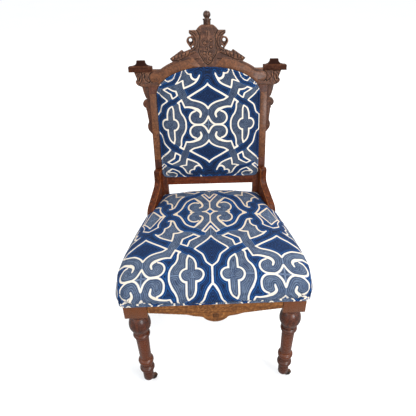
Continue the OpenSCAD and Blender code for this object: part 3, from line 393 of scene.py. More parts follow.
woods = {
    "crest": woodMaterial("crestWalnut", "x", (108, 66, 45), (47, 26, 17), (154, 106, 76), (8, 4, 3),
                          rough=0.46, coat=0.06, worn=0.4),
    "post": woodMaterial("postWalnut", "back", (106, 54, 32), (48, 22, 13), (140, 84, 52), (14, 7, 5), coat=0.1),
    "fret": woodMaterial("fretWalnut", "back", (104, 60, 38), (52, 28, 18), (136, 90, 60), (13, 7, 5),
                         rough=0.48, coat=0.05),
    # The cap's band takes its roof, above 0.862 m, nearly to black: painted shade on the roof's slopes.
    "cap": woodMaterial("capWalnut", "x", (84, 47, 32), (42, 22, 15), (120, 76, 52), (10, 5, 3),
                        rough=0.6, coat=0.0, gloss=0.06, bands=[(0.862, 0.867, (36, 15, 9), 0.95)]),
    "finial": woodMaterial("finialWalnut", "z", (86, 50, 31), (38, 20, 12), (132, 88, 60), (9, 5, 3),
                           rough=0.3, coat=0.35),
    "rail": woodMaterial("railWalnut", "x", (154, 95, 42), (87, 47, 18), (184, 126, 70), (38, 17, 7),
                         rough=0.42, coat=0.05, worn=0.5),
    "side": woodMaterial("sideWalnut", "y", (122, 70, 32), (66, 34, 14), (156, 102, 54), (22, 11, 6), coat=0.1),
    "low": woodMaterial("lowRailWalnut", "x", (114, 51, 25), (57, 24, 12), (146, 81, 44), (16, 7, 5),
                        coat=0.06, gloss=0.2),
    "leg": woodMaterial("legWalnut", "z", (100, 46, 22), (42, 17, 8), (128, 72, 38), (12, 5, 3), rough=0.28, coat=0.35,
                        bands=[(0.258, 0.2, (98, 46, 16), 0.6), (0.12, 0.1, (56, 26, 15), 0.6),
                               (0.335, 0.352, (112, 60, 22), 0.75)]),
    "bracket": woodMaterial("bracketWalnut", "z", (104, 46, 14), (50, 20, 6), (146, 82, 34), (14, 7, 4),
                            rough=0.4, coat=0.03, gloss=0.16),
    "burl": woodMaterial("burlVeneer", "back", (132, 82, 50), (64, 36, 21), (110, 70, 44), (20, 11, 7),
                         burl=True, coat=0.1),
    "soft": woodMaterial("frameSoftwood", "x", (196, 158, 110), (158, 116, 74), (204, 172, 128), (80, 56, 36),
                         rough=0.6, coat=0.0),
}


def metalMaterial(name, colour, shade, rust, rough, metallic):
    material, g, place, shader = startMaterial(name)
    cloudy = g.blend(g.noise(place, 90.0, 4.0, 0.65), tint(colour), tint(shade))
    rusted = g.span(g.noise(place, 210.0, 4.0, 0.7), 0.52, 0.68)
    g.feed(shader["Base Color"], g.blend(g.sum("MULTIPLY", rusted, 0.6), cloudy, tint(rust)))
    g.feed(shader["Roughness"], g.span(rusted, 0.0, 1.0, rough, rough + 0.3))
    g.feed(shader["Metallic"], g.span(rusted, 0.0, 1.0, metallic, metallic * 0.4))
    g.feed(shader["Normal"], g.bump(g.noise(place, 420.0, 3.0, 0.6), 0.3, 0.0005))
    return material


metals = {
    "iron": metalMaterial("agedIron", (86, 78, 72), (52, 46, 43), (92, 54, 34), 0.42, 0.85),
    "wheel": metalMaterial("wheelIron", (104, 74, 56), (62, 44, 36), (110, 62, 36), 0.48, 0.7),
    "brass": metalMaterial("agedBrass", (150, 112, 58), (104, 74, 38), (70, 46, 28), 0.36, 0.9),
}

# Ribbed pile cloth. Each pair is the tone between the ribs and on them. Scales are those of the noises.
pile = {
    "navy": ((0, 13, 40), (14, 80, 144)), "navyCore": ((0, 4, 18), (4, 42, 92)),
    "slate": ((22, 34, 56), (104, 120, 144)), "slateCore": ((6, 14, 34), (126, 142, 166)),
    "slateStreak": ((8, 18, 42), (72, 90, 118)), "cream": ((206, 192, 172), (248, 238, 222)),
    "aged": (214, 184, 146), "paleFleck": (70, 108, 152), "darkFleck": (4, 10, 26),
    "nap": (6, 34, 76), "paintedBackShade": (4, 10, 24),
    "coreFrom": (4.5, 9.5), "streakFrom": (2.2, 5.5),
    "yarnScale": 900.0, "napScale": 30.0, "coreScale": 210.0, "streakScale": 55.0, "fleckScale": 400.0,
}
clothTree, g, gIn, gOut = newGroup(
    "strapworkCloth",
    [("Vector", "NodeSocketVector"), ("Slate side", "NodeSocketFloat"), ("Line side", "NodeSocketFloat"),
     ("Aged", "NodeSocketFloat"), ("Painted back shade", "NodeSocketFloat")],
    [("Colour", "NodeSocketColor"), ("Height", "NodeSocketFloat")])

slateMask = g.span(gIn["Slate side"], -0.5, 0.5, 1.0, 0.0)
lineMask = g.span(gIn["Line side"], -0.35, 0.65, 1.0, 0.0)
edgeAway = g.sum("MINIMUM", g.sum("ABSOLUTE", gIn["Slate side"]), gIn["Line side"])
ribWave = g.sum("SINE", g.sum("MULTIPLY", edgeAway, 2 * math.pi / weave["rib"]))
ribs = g.add("ShaderNodeMath", {0: ribWave, 1: 0.5, 2: 0.5}, operation="MULTIPLY_ADD").outputs[0]
yarn = g.noise(gIn["Vector"], pile["yarnScale"], 2.0, 0.6)
core = g.span(edgeAway, *pile["coreFrom"])
navy = g.blend(g.sum("MULTIPLY", core, 0.85), g.tones(ribs, pile["navy"]), g.tones(ribs, pile["navyCore"]))
mixed = g.tones(g.noise(gIn["Vector"], pile["coreScale"], 3.0, 0.8), pile["slateCore"])
slate = g.blend(g.sum("MULTIPLY", core, 0.5), g.tones(ribs, pile["slate"]), mixed)
streaks = g.span(g.noise(gIn["Vector"], pile["streakScale"], 3.0, 0.6), 0.44, 0.62)
streaked = g.sum("MULTIPLY", streaks, g.span(edgeAway, *pile["streakFrom"], 0.0, 0.62))
slate = g.blend(streaked, slate, g.tones(ribs, pile["slateStreak"]))
cream = g.blend(g.sum("MULTIPLY", gIn["Aged"], 0.6), g.tones(yarn, pile["cream"]), tint(pile["aged"]))
flecks = g.noise(gIn["Vector"], pile["fleckScale"], 3.0, 0.7)
nap = g.noise(gIn["Vector"], pile["napScale"], 3.0, 0.6)
ground = g.blend(slateMask, navy, slate)
ground = g.blend(g.span(flecks, 0.52, 0.7, 0.0, 0.3), ground, tint(pile["paleFleck"]))
ground = g.blend(g.span(flecks, 0.47, 0.33, 0.0, 0.45), ground, tint(pile["darkFleck"]))
ground = g.blend(g.span(nap, 0.42, 0.66, 0.0, 0.2), ground, tint(pile["nap"]))
# Painted shade: on the back's cloth the ground is darkened towards navy, for the weaker light on its upright face.
ground = g.blend(g.sum("MULTIPLY", gIn["Painted back shade"], 0.3), ground, tint(pile["paintedBackShade"]))
g.feed(gOut["Colour"], g.blend(lineMask, ground, cream))
ribbed = g.sum("MULTIPLY", g.sum("MULTIPLY", ribs, 0.45), g.sum("SUBTRACT", 1.0, lineMask))
raised = g.sum("ADD", ribbed, g.sum("MULTIPLY", lineMask, 0.9))
g.feed(gOut["Height"], g.sum("ADD", raised, g.sum("MULTIPLY", yarn, 0.35)))

clothMaterial, g, place, shader = startMaterial("strapworkFabric")
cloth = g.add("ShaderNodeGroup", {"Vector": place, "Slate side": g.attribute("slate"), "Line side": g.attribute("line"),
                                  "Aged": g.attribute("aged"), "Painted back shade": g.attribute("paintedBackShade")}, node_tree=clothTree)
g.feed(shader["Base Color"], cloth.outputs["Colour"])
g.feed(shader["Normal"], g.bump(cloth.outputs["Height"], 0.6, 0.0011))
shader["Roughness"].default_value = 0.85
shader["Specular IOR Level"].default_value = 0.25
shader["Sheen Weight"].default_value = 0.12
shader["Sheen Roughness"].default_value = 0.4
shader["Sheen Tint"].default_value = tint((190, 205, 235))


def plainCloth(name, colour, shade, threads):
    material, g, place, shader = startMaterial(name)
    across, along = [g.add("ShaderNodeTexWave", {"Vector": place, "Scale": threads, "Distortion": 1.5, "Detail": 2.0},
                           bands_direction=way).outputs["Fac"] for way in ("X", "Y")]
    woven = g.sum("MULTIPLY", g.sum("ADD", across, along), 0.5)
    stained = g.span(g.noise(place, 24.0, 3.0, 0.6), 0.4, 0.7, 0.0, 0.4)
    g.feed(shader["Base Color"], g.blend(stained, g.blend(woven, tint(shade), tint(colour)), tint(shade)))
    g.feed(shader["Normal"], g.bump(woven, 0.5, 0.0006))
    shader["Roughness"].default_value = 0.9
    return material


juteCloth = plainCloth("juteWeave", (188, 160, 116), (120, 96, 62), 260.0)
liningCloth = plainCloth("cambricLining", (62, 60, 60), (34, 33, 34), 420.0)

# The floor is pale to the camera and darker to all other rays, so that it doesn't bleach the wood from below.
# Its reach is in metres.
floorLook = {"reach": 7.0, "low": 0.95, "high": 0.98, "bounce": 0.32, "mottle": 3.0}
bm = bmesh.new()
bmesh.ops.create_grid(bm, x_segments=2, y_segments=2, size=floorLook["reach"])
floorMesh = bpy.data.meshes.new("floor")
bm.to_mesh(floorMesh)
bm.free()
floor = bpy.data.objects.new("floor", floorMesh)
scene.collection.objects.link(floor)
floorMaterial, g, place, shader = startMaterial("paleFloor")
low, high, bounce = [(floorLook[key],) * 3 + (1,) for key in ("low", "high", "bounce")]
seen = g.add("ShaderNodeLightPath").outputs["Is Camera Ray"]
g.feed(shader["Base Color"], g.blend(seen, bounce, g.blend(g.noise(place, floorLook["mottle"], 3.0), low, high)))
shader["Roughness"].default_value = 0.8
shader["Specular IOR Level"].default_value = 0.0
floorMesh.materials.append(floorMaterial)
print("stage: materials and floor")


def copyNode(name):
    bm = bmesh.new()
    bm.from_mesh(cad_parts[name].data)
    bmesh.ops.remove_doubles(bm, verts=bm.verts, dist=0.00001)
    bmesh.ops.scale(bm, vec=(perMetre,) * 3, verts=bm.verts)
    return bm


def soften(bm, width, segments=2, sharp=28):
    bmesh.ops.dissolve_limit(bm, angle_limit=math.radians(0.6), verts=bm.verts, edges=bm.edges)
    edges = [e for e in bm.edges if e.is_manifold and e.calc_face_angle(0) > math.radians(sharp)]
    worn = bmesh.ops.bevel(bm, geom=edges, offset=width, offset_type="OFFSET", segments=segments, profile=0.5,
                           affect="EDGES", clamp_overlap=True, material=-1)["faces"]
    # The bevel faces are marked "edge", which the wood lightens: wear on the edges, with a painted highlight.
    layer = bm.loops.layers.float.new("edge")
    for face in worn:
        if face.is_valid:
            for loop in face.loops:
                loop[layer] = 1.0
    return bm


def toMesh(name, bm):
    bmesh.ops.recalc_face_normals(bm, faces=bm.faces)
    bmesh.ops.scale(bm, vec=(1 / perMetre,) * 3, verts=bm.verts)
    mesh = bpy.data.meshes.new(name)
    bm.to_mesh(mesh)
    bm.free()
    return mesh


def placePiece(name, mesh, material, nodes, sharp=35):
    mesh.name = name
    mesh.materials.clear()
    mesh.materials.append(material)
    mesh.shade_smooth()
    if sharp:
        mesh.set_sharp_from_angle(angle=math.radians(sharp))
    piece = bpy.data.objects.new(name, mesh)
    scene.collection.objects.link(piece)
    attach(piece, "frame")
    if nodes:
        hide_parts(*nodes)
    return piece


def readPoints(mesh):
    flat = np.empty(len(mesh.vertices) * 3)
    mesh.vertices.foreach_get("co", flat)
    return flat.reshape(-1, 3) * perMetre


def writePoints(mesh, points):
    mesh.vertices.foreach_set("co", (np.asarray(points) / perMetre).ravel())
    mesh.update()


def readNormals(mesh):
    flat = np.empty(len(mesh.vertices) * 3, np.float32)
    mesh.vertex_normals.foreach_get("vector", flat)
    return flat.reshape(-1, 3).astype(float)


def setAttribute(mesh, name, values):
    layer = mesh.attributes.get(name) or mesh.attributes.new(name, "FLOAT", "POINT")
    layer.data.foreach_set("value", np.asarray(values, np.float32))


def readAttribute(mesh, name):
    flat = np.empty(len(mesh.vertices), np.float32)
    mesh.attributes[name].data.foreach_get("value", flat)
    return flat


# The mesh as its modifiers leave it. The object that carried them goes.
def applied(carrier):
    done = bpy.data.meshes.new_from_object(carrier.evaluated_get(bpy.context.evaluated_depsgraph_get()))
    before = carrier.data
    bpy.data.objects.remove(carrier)
    bpy.data.meshes.remove(before)
    return done


def voxelled(bm, size, rounds=2):
    rough = bpy.data.objects.new("rough", toMesh("rough", bm))
    scene.collection.objects.link(rough)
    grid = rough.modifiers.new("grid", "REMESH")
    grid.mode = "VOXEL"
    grid.voxel_size = size / perMetre
    done = applied(rough)
    bm = bmesh.new()
    bm.from_mesh(done)
    for _ in range(rounds):
        bmesh.ops.smooth_vert(bm, verts=bm.verts, factor=0.5, use_axis_x=True, use_axis_y=True, use_axis_z=True)
    bm.to_mesh(done)
    bm.free()
    return done


def edgesOf(mesh):
    flat = np.empty(len(mesh.edges) * 2, np.int64)
    mesh.edges.foreach_get("vertices", flat)
    return flat.reshape(-1, 2)


def neighbourSum(pairs, values):
    one, other = pairs.T
    return np.bincount(one, values[other], len(values)) + np.bincount(other, values[one], len(values))


def neighbourCount(pairs, size):
    return np.bincount(pairs.ravel(), minlength=size).astype(float)


def spread(mesh, values, rounds):
    pairs = edgesOf(mesh)
    count = neighbourCount(pairs, len(values))
    for _ in range(rounds):
        values = 0.5 * values + 0.5 * neighbourSum(pairs, values) / np.maximum(count, 1)
    return values


# Where a dense mesh turns outwards ("edge": worn lighter, with a painted highlight) and inwards ("deep": dark with old
# polish and painted shade).
wear = {"edge": 9, "edgeFrom": 0.35, "deep": 11, "deepFrom": 0.25, "rounds": 2}


def markRelief(mesh):
    points, pairs = readPoints(mesh), edgesOf(mesh)
    average = np.stack([neighbourSum(pairs, column) for column in points.T], 1)
    average /= neighbourCount(pairs, len(points))[:, None]
    size = np.mean(np.linalg.norm(points[pairs[:, 0]] - points[pairs[:, 1]], axis=1))
    bend = spread(mesh, np.einsum("ij,ij->i", average - points, readNormals(mesh)) / size, wear["rounds"])
    setAttribute(mesh, "edge", np.clip(-bend * wear["edge"] - wear["edgeFrom"], 0, 1))
    setAttribute(mesh, "deep", np.clip(bend * wear["deep"] - wear["deepFrom"], 0, 1))


# A round cord: a ring of edges, turned and extruded from each point of the path to the next.
def tube(path, radius, sides, closed=False):
    path, places, aside = [Vector(p) for p in path], [], None
    for i, p in enumerate(path):
        before = path[i - 1] if closed or i else p
        after = path[(i + 1) % len(path)] if closed or i < len(path) - 1 else p
        ahead = (after - before).normalized()
        aside = ahead.orthogonal() if aside is None else aside
        aside = (aside - ahead * aside.dot(ahead)).normalized()
        places.append(Matrix.Translation(p) @ Matrix((aside, ahead.cross(aside), ahead)).transposed().to_4x4())
    bm = bmesh.new()
    first = places[0] @ Matrix.Rotation(math.radians(-90), 4, "Z")
    bmesh.ops.create_circle(bm, segments=sides, radius=radius, matrix=first)
    edges = firstRing = bm.edges[:]
    for old, new in zip(places[:-1], places[1:]):
        grown = bmesh.ops.extrude_edge_only(bm, edges=edges)["geom"]
        edges = [e for e in grown if isinstance(e, bmesh.types.BMEdge)]
        ring = [v for v in grown if isinstance(v, bmesh.types.BMVert)]
        bmesh.ops.transform(bm, matrix=new @ old.inverted(), verts=ring)
    if closed:
        bmesh.ops.bridge_loops(bm, edges=firstRing + edges)
    else:
        bmesh.ops.holes_fill(bm, edges=bm.edges, sides=sides)
    return bm


def evenly(points, step, closed=False):
    p = np.array(points + points[:1] if closed else points, float)
    reach = np.concatenate([[0], np.cumsum(np.linalg.norm(p[1:] - p[:-1], axis=1))])
    marks = np.linspace(0, reach[-1], max(2, round(reach[-1] / step) + 1))[:-1 if closed else None]
    return [tuple(point) for point in np.stack([np.interp(marks, reach, column) for column in p.T], 1)]


def merge(target, extra):
    mesh = bpy.data.meshes.new("extra")
    extra.to_mesh(mesh)
    extra.free()
    target.from_mesh(mesh)
    bpy.data.meshes.remove(mesh)


# Woodwork with eased edges: piece, node, width of the edge, wood and slot. {} stands for left and right.
easedPieces = [
    ("back_post_{}", "{}_back_post", 1.2, "post", "walnut"),
    ("side_fret_{}", "{}_side_fret", 0.8, "fret", "walnut"),
    ("low_rail", "lower_back_rail", 1.0, "low", "walnut"),
    ("side_rail_{}", "{}_side_rail", 1.2, "side", "walnut"),
    ("rear_rail", "rear_seat_rail", 1.2, "side", "walnut"),
    ("ear_cap_{}", "{}_ear_cap", 0.6, "cap", "dark_walnut"),
    ("hip_bracket_{}", "{}_hip_bracket", 1.6, "bracket", "dark_walnut"),
    ("post_burl_{}", "{}_post_veneer", 0.4, "burl", "burl"),
    ("crest_burl_{}", "{}_crest_veneer", 0.4, "burl", "burl"),
    ("leg_{}", "{}_front_leg", 0.8, "leg", "dark_walnut"),
    ("brace_set", "corner_braces", 1.0, "soft", "softwood"),
    ("dowel_set", "crest_dowels", 0.6, "soft", "softwood"),
    ("finial", "crest_finial", 0.3, "finial", "dark_walnut"),
]
for pieces, nodes, width, wood, slot in easedPieces:
    for side in ("left", "right") if "{}" in pieces else ("",):
        name, node = pieces.format(side), nodes.format(side)
        bm = soften(copyNode(node), width, 2, 40 if wood == "leg" else 30)
        placePiece(name, toMesh(name, bm), woods[wood], [node])
print("stage: bevelled woodwork")

# The carving on the crest's face. Points are x and s, spots have a radius last. The sides mirror each other.
crestLook = {
    "voxel": 1.2, "wide": 1.4, "deep": 2.0,
    "shieldArea": (45, 376), "sideArea": (26, 395), "archArea": (28, 408), "earFrom": 162,
    "field": [(31, 476), (23, 462), (24, 447), (24, 430), (27, 420), (23, 408), (16, 398), (12, 390), (5, 383),
              (0, 380.5)],
    "fieldInner": [(20, 468), (19.5, 447), (20, 430), (22.5, 420), (18.5, 409), (12, 399), (7.5, 391), (0, 385)],
    "rosettes": [(-8.5, 441, 5.2), (-9.5, 413, 4.4), (6.5, 411.5, 4.4), (8, 397, 5.0), (9.5, 430, 4.0),
                 (-3, 426.5, 3.6), (10, 447, 3.4)],
    "stem": [(1, 456), (5, 445), (1, 434), (3, 422), (-2, 412), (1, 401), (-2, 392)],
    "topVein": [(-1, 481), (1, 470), (-1, 458)],
    "leaves": [(60, 414.5, 6.2), (70.5, 411, 6.2), (81, 407.5, 5.8), (92, 403.5, 5.2), (102, 400.5, 4.2)],
    "leafCuts": [[(63, 421), (67, 404)], [(74, 420), (77, 402)], [(85, 415), (87.5, 400)], [(96, 410), (98, 398)],
                 [(52, 421), (56, 408)]],
    "curl": (57, 446), "curlRings": [(22.4, 2.0), (25.4, 0.6), (28.6, 2.0)],
    "arch": {"half": 178.5, "rise": 103.5, "spring": 295, "size": 118, "wide": 1.4},
    "folds": [[(188, 358), (190, 350), (189, 342), (184, 335), (176, 331)],
              [(198, 360), (197, 350), (198, 342), (201, 334), (206, 327)],
              [(207, 349), (205.5, 342), (208, 336)], [(196, 361.3), (220, 361.3)],
              [(214, 352), (211, 343), (213, 335)]],
    "pits": [(206.5, 323, 2.4), (207, 337, 2.2), (176, 333, 2.0)], "nose": (160, 346, 17.0),
}


def ringCut(x, s, centre, radius, wide, deep):
    return deep * np.exp(-((np.hypot(x - centre[0], s - centre[1]) - radius) / wide) ** 2)


def lineCut(points, x, s, wide, deep, smooth=True):
    return deep * np.exp(-(strokeField(throughPoints(points) if smooth else points, x, s, 0) / wide) ** 2)


def spotAway(x, s, spot):
    return np.hypot(x - spot[0], s - spot[1]) / spot[2]


def dome(away):
    return np.clip(1 - away * away, 0, 1)


# A carved rosette: a domed button in a sunk ring, with a pit in its middle.
def rosette(x, s, spot, high):
    away = spotAway(x, s, spot)
    return high * (dome(away) - 0.8 * np.exp(-((away - 1.12) / 0.17) ** 2) - 0.6 * np.exp(-(away / 0.22) ** 2))


def shieldRelief(x, s):
    look, half = crestLook, np.abs(x)
    inside = smoothStep(fieldSide([(-a, b) for a, b in look["field"]] + look["field"][::-1], x, s), 0.5, -2.5)
    stipple = np.sin(x * 1.9 + 1.3 * np.sin(s * 0.9)) * np.sin(s * 1.75 + 1.1 * np.sin(x * 1.1))
    leaf = np.clip(1 - (x / (6.5 * np.clip((482 - s) / 12, 0.05, 1))) ** 2, 0, 1) * smoothStep(s, 455, 462)
    veins = 0.5 + 0.5 * np.cos((s - 0.9 * half) * 1.45)
    high = inside * 0.3 * stipple + lineCut(look["stem"], x, s, 1.3, 0.9) + leaf * (1.2 - 0.7 * veins)
    high += sum(rosette(x, s, spot, 1.5) for spot in look["rosettes"])
    cut = lineCut(look["field"], half, s, look["wide"], look["deep"]) + lineCut(look["topVein"], x, s, 0.8, 1.2)
    return high, cut + 0.5 * lineCut(look["fieldInner"], half, s, 0.9, look["deep"])


def leafRelief(x, s):
    around = np.degrees(np.arctan2(s - crestLook["curl"][1], x - crestLook["curl"][0])) % 360
    onCurl = smoothStep(around, 95, 112) * smoothStep(around, 262, 244)
    cut = sum(onCurl * ringCut(x, s, crestLook["curl"], radius, 1.1, deep) for radius, deep in crestLook["curlRings"])
    cut += sum(lineCut(points, x, s, 1.2, crestLook["deep"] * 1.1, False) for points in crestLook["leafCuts"])
    return 1.3 * sum(dome(spotAway(x, s, spot)) for spot in crestLook["leaves"]), cut


def archRelief(x, s):
    arch = crestLook["arch"]
    away = (np.hypot(x / arch["half"], (s - arch["spring"]) / arch["rise"]) - 1) * arch["size"]
    groove = crestLook["deep"] * 0.9 * np.exp(-(away / arch["wide"]) ** 2)
    return 0, groove * smoothStep(s, 349, 354) * smoothStep(x, 172, 166)


def earRelief(x, s):
    nose, deep = crestLook["nose"], crestLook["deep"]
    turn = np.degrees(np.arctan2(s - nose[1], x - nose[0]))
    cut = ringCut(x, s, nose, nose[2], 1.2, deep) * smoothStep(np.abs(turn), 80, 62)
    cut += sum(lineCut(points, x, s, 1.3, deep) for points in crestLook["folds"])
    cut += sum(deep * np.exp(-spotAway(x, s, spot) ** 2) for spot in crestLook["pits"])
    waves = 0.7 * np.sin(x * 0.5 + 6 * np.sin(s / 14))
    return waves * smoothStep(s, 322, 330) * smoothStep(s, 361, 355) * smoothStep(x, 180, 186), cut


def crestRelief(x, s):
    half, high, cut = np.abs(x), np.zeros(len(x)), np.zeros(len(x))
    areas = [(half < crestLook["shieldArea"][0]) & (s > crestLook["shieldArea"][1]),
             (half > crestLook["sideArea"][0]) & (s > crestLook["sideArea"][1]),
             (half > crestLook["archArea"][0]) & (s < crestLook["archArea"][1]), half > crestLook["earFrom"]]
    for area, relief in zip(areas, (shieldRelief, leafRelief, archRelief, earRelief)):
        raised, sunk = relief(x[area] if relief is shieldRelief else half[area], s[area])
        high[area] += raised
        cut[area] += sunk
    return high, cut


# The carving in the middle of the front rail. Points are x and z.
railLook = {
    "voxel": 1.5, "flutes": (-6.3, -2.1, 2.1, 6.3), "fluteWide": 1.5, "fluteDeep": 1.6,
    "scrolls": [(-38, 378, 9), (38, 378, 9), (-20, 368, 7), (20, 368, 7), (0, 380, 8)], "scrollHigh": 0.9,
    "middle": 72, "line": 357.5, "lineDeep": 0.9, "joint": (180.4, 182.0), "jointShade": 0.85,
}


def railRelief(x, z):
    fluteEnds = smoothStep(z, 333, 336) * smoothStep(z, 353, 349)
    flutes = sum(np.exp(-((x - at) / railLook["fluteWide"]) ** 2) for at in railLook["flutes"])
    high = np.zeros(len(x))
    for spot in railLook["scrolls"]:
        away = spotAway(x, z, spot)
        turn = np.arctan2(z - spot[1], (x - spot[0]) * (1 if spot[0] > 0 else -1))
        high += railLook["scrollHigh"] * np.cos(away * 6.5 - turn) * np.clip(1.15 - away, 0, 1)
    nearMiddle = np.exp(-(x / railLook["middle"]) ** 4)
    waves = 0.55 * (0.5 + 0.5 * np.sin(x * 0.42 + 2 * np.sin(z * 0.21))) * smoothStep(z, 358, 362)
    line = railLook["lineDeep"] * np.exp(-((z - railLook["line"]) / 1.2) ** 2)
    return high, railLook["fluteDeep"] * flutes * fluteEnds + nearMiddle * (waves + line)


# Cuts a relief into the face of a dense mesh, and darkens what it has sunk: old polish in the cuts, with painted shade.
def cutFace(mesh, relief, plane, toFront):
    points = readPoints(mesh)
    share = smoothStep(readNormals(mesh) @ toFront, 0.55, 0.9)
    high, cut = relief(*plane(points))
    writePoints(mesh, points + ((high - cut) * share)[:, None] * toFront)
    markRelief(mesh)
    setAttribute(mesh, "deep", np.clip(np.maximum(readAttribute(mesh, "deep"), (cut - 0.25) * share * 0.95), 0, 1))


mesh = voxelled(copyNode("crest_board"), crestLook["voxel"])
cutFace(mesh, crestRelief, lambda p: fromBack(p)[:2], np.array([0, -backCos, backSin]))
placePiece("crest", mesh, woods["crest"], ["crest_board"], sharp=0)
mesh = voxelled(copyNode("front_seat_rail"), railLook["voxel"])
cutFace(mesh, railRelief, lambda p: (p[:, 0], p[:, 2]), np.array([0.0, -1.0, 0.0]))
joint = railLook["jointShade"] * smoothStep(np.abs(readPoints(mesh)[:, 0]), *railLook["joint"])
setAttribute(mesh, "deep", np.maximum(readAttribute(mesh, "deep"), joint))
placePiece("front_rail", mesh, woods["rail"], ["front_seat_rail"], sharp=0)
print("stage: carved woodwork")

casterMetals = {"socket": "brass", "horn": "iron", "axle": "iron", "wheel": "wheel"}
for side in ("left", "right"):
    for part, metal in casterMetals.items():
        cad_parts[f"{side}_caster_{part}"].material_slots[0].material = metals[metal]
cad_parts["brace_screws"].material_slots[0].material = metals["iron"]
print("stage: casters")


# Fills a pad by cloth simulation: no point moves further than cap, and the held ones stay.
def plump(bm, look, held):
    mesh = voxelled(bm, look["voxel"], 1)
    base = readPoints(mesh)
    pad = bpy.data.objects.new("pad", mesh)
    scene.collection.objects.link(pad)
    group = pad.vertex_groups.new(name="held")
    group.add([int(i) for i in np.nonzero(held(base))[0]], 1.0, "REPLACE")
    simulation = pad.modifiers.new("stuffed", "CLOTH")
    simulation.settings.use_pressure = True
    simulation.settings.uniform_pressure_force = look["pressure"]
    simulation.settings.vertex_group_mass = "held"
    simulation.settings.effector_weights.gravity = 0
    simulation.collision_settings.use_collision = False
    for step in range(1, look["frames"] + 1):
        scene.frame_set(step)
    settled = pad.evaluated_get(bpy.context.evaluated_depsgraph_get()).to_mesh()
    moved = readPoints(settled) - base
    scene.frame_set(1)
    length = np.linalg.norm(moved, axis=1)
    moved *= (np.minimum(length, look["cap"]) / np.maximum(length, 1e-6))[:, None]
    moved = np.stack([spread(mesh, moved[:, k], 3) for k in range(3)], 1)
    bpy.data.objects.remove(pad)
    writePoints(mesh, base + moved)
    fine = bpy.data.objects.new("fine", mesh)
    scene.collection.objects.link(fine)
    finer = fine.modifiers.new("finer", "SUBSURF")
    finer.levels = finer.render_levels = 1
    return applied(fine)


# Smoothing draws a pad in. This lets it out again, to the thickness of its cover over the stuffing.
cover = {"thick": 2.8, "give": 0.3, "rounds": (8, 3)}


def fillOut(mesh, node):
    shape = copyNode(node)
    tree = BVHTree.FromBMesh(shape)
    shape.free()
    for rounds in cover["rounds"]:
        points, normals = readPoints(mesh), readNormals(mesh)
        found = [tree.find_nearest(p) for p in points]
        near, distance = np.array([tuple(f[0]) for f in found]), np.array([f[3] for f in found])
        inside = np.einsum("ij,ij->i", points - near, normals) < 0
        short = spread(mesh, np.where(inside, -distance, distance), rounds)
        out = cover["thick"] + cover["give"] * np.clip(short, -1, 1) - short
        writePoints(mesh, points + normals * out[:, None])


# How far a point has gone down over a rim, with a soft start.
def roll(drop, soft):
    drop = np.maximum(drop, 0)
    return drop * drop / (drop + soft)


def weaveOn(mesh, layout, fuller=0.0, even=0):
    normals = np.stack([spread(mesh, column, even) for column in readNormals(mesh).T], 1)
    slateSide, lineSide = weavePattern(*layout(readPoints(mesh), normals))
    setAttribute(mesh, "slate", np.clip(slateSide, -40, 40))
    setAttribute(mesh, "line", np.clip(lineSide - fuller, -4, 40))


seatLook = {
    "voxel": 5, "pressure": 4, "cap": 3.4, "frames": 20, "hold": 410.5, "fuller": 0.25, "even": 6, "aged": (-190, 60),
    "lip": {"frame": -262, "from": 434, "to": 404.3, "least": 4, "step": 6, "half": 300, "even": 3},
    "corner": {"at": (225.0, -250.0), "radius": 27, "inner": 15, "top": 434, "facing": 0.15},
    "rear": {"rows": (20, 150), "heights": (425, 445), "crown": 3.0, "crownTo": (120, 20),
             "fall": 6.0, "fallTo": (60, 150)},
}


# The thin lip that hangs over the front rail is lost in the remesh. This draws it down to the piping again.
def lowerLip(points):
    lip = seatLook["lip"]
    outside = (points[:, 1] < lip["frame"]) & (points[:, 2] < lip["from"])
    place = np.round((points[:, 0] + lip["half"]) / lip["step"]).astype(int)
    lowest = np.full(round(2 * lip["half"] / lip["step"]) + 1, lip["from"] - 1.0)
    np.minimum.at(lowest, place[outside], points[outside, 2])
    window = 2 * lip["even"] + 1
    lowest = np.convolve(np.pad(lowest, lip["even"], mode="edge"), np.ones(window) / window, "valid")
    low = np.minimum(lowest[place], lip["from"] - lip["least"])
    stretch = np.maximum(1, (lip["from"] - lip["to"]) / (lip["from"] - low))
    points[:, 2] = np.where(outside, lip["from"] - (lip["from"] - points[:, 2]) * stretch, points[:, 2])


def fillCorners(points, normals):
    corner = seatLook["corner"]
    for side in (-1, 1):
        radial = points[:, :2] - np.array([side * corner["at"][0], corner["at"][1]])
        length = np.linalg.norm(radial, axis=1)
        chosen = (radial[:, 0] * side > 0) & (radial[:, 1] < 0) & (points[:, 2] < corner["top"])
        chosen &= (length > corner["inner"]) & (length < corner["radius"])
        chosen &= np.einsum("ij,ij->i", radial, normals[:, :2]) > corner["facing"] * length
        points[chosen, :2] += radial[chosen] / length[chosen, None] * (corner["radius"] - length[chosen])[:, None]


def shapeRear(points):
    rear, across = seatLook["rear"], np.abs(points[:, 0])
    share = smoothStep(points[:, 1], *rear["rows"]) * smoothStep(points[:, 2], *rear["heights"])
    crown, fall = smoothStep(across, *rear["crownTo"]), smoothStep(across, *rear["fallTo"])
    points[:, 2] += share * (rear["crown"] * crown - rear["fall"] * fall)


# How the cloth lies on the seat. Its rows bow forwards at the sides, and the rims take in a little.
seatLay = {
    "left": 6, "steep": 446.0, "soft": 12, "frontRoll": 1.25,
    "draw": {"from": 100, "over": 156, "right": 10, "left": 4, "rows": (-40, -110)},
    "let": {"from": 110, "over": 66, "by": 5.4, "most": 1.7, "rows": (-95, -25)},
    "change": -80, "liftOver": 82, "lift": 28, "front": 232, "frontBow": 6, "frontTall": 0.04,
    "rearRow": 151, "rearTall": 96, "rearDeep": 110,
}


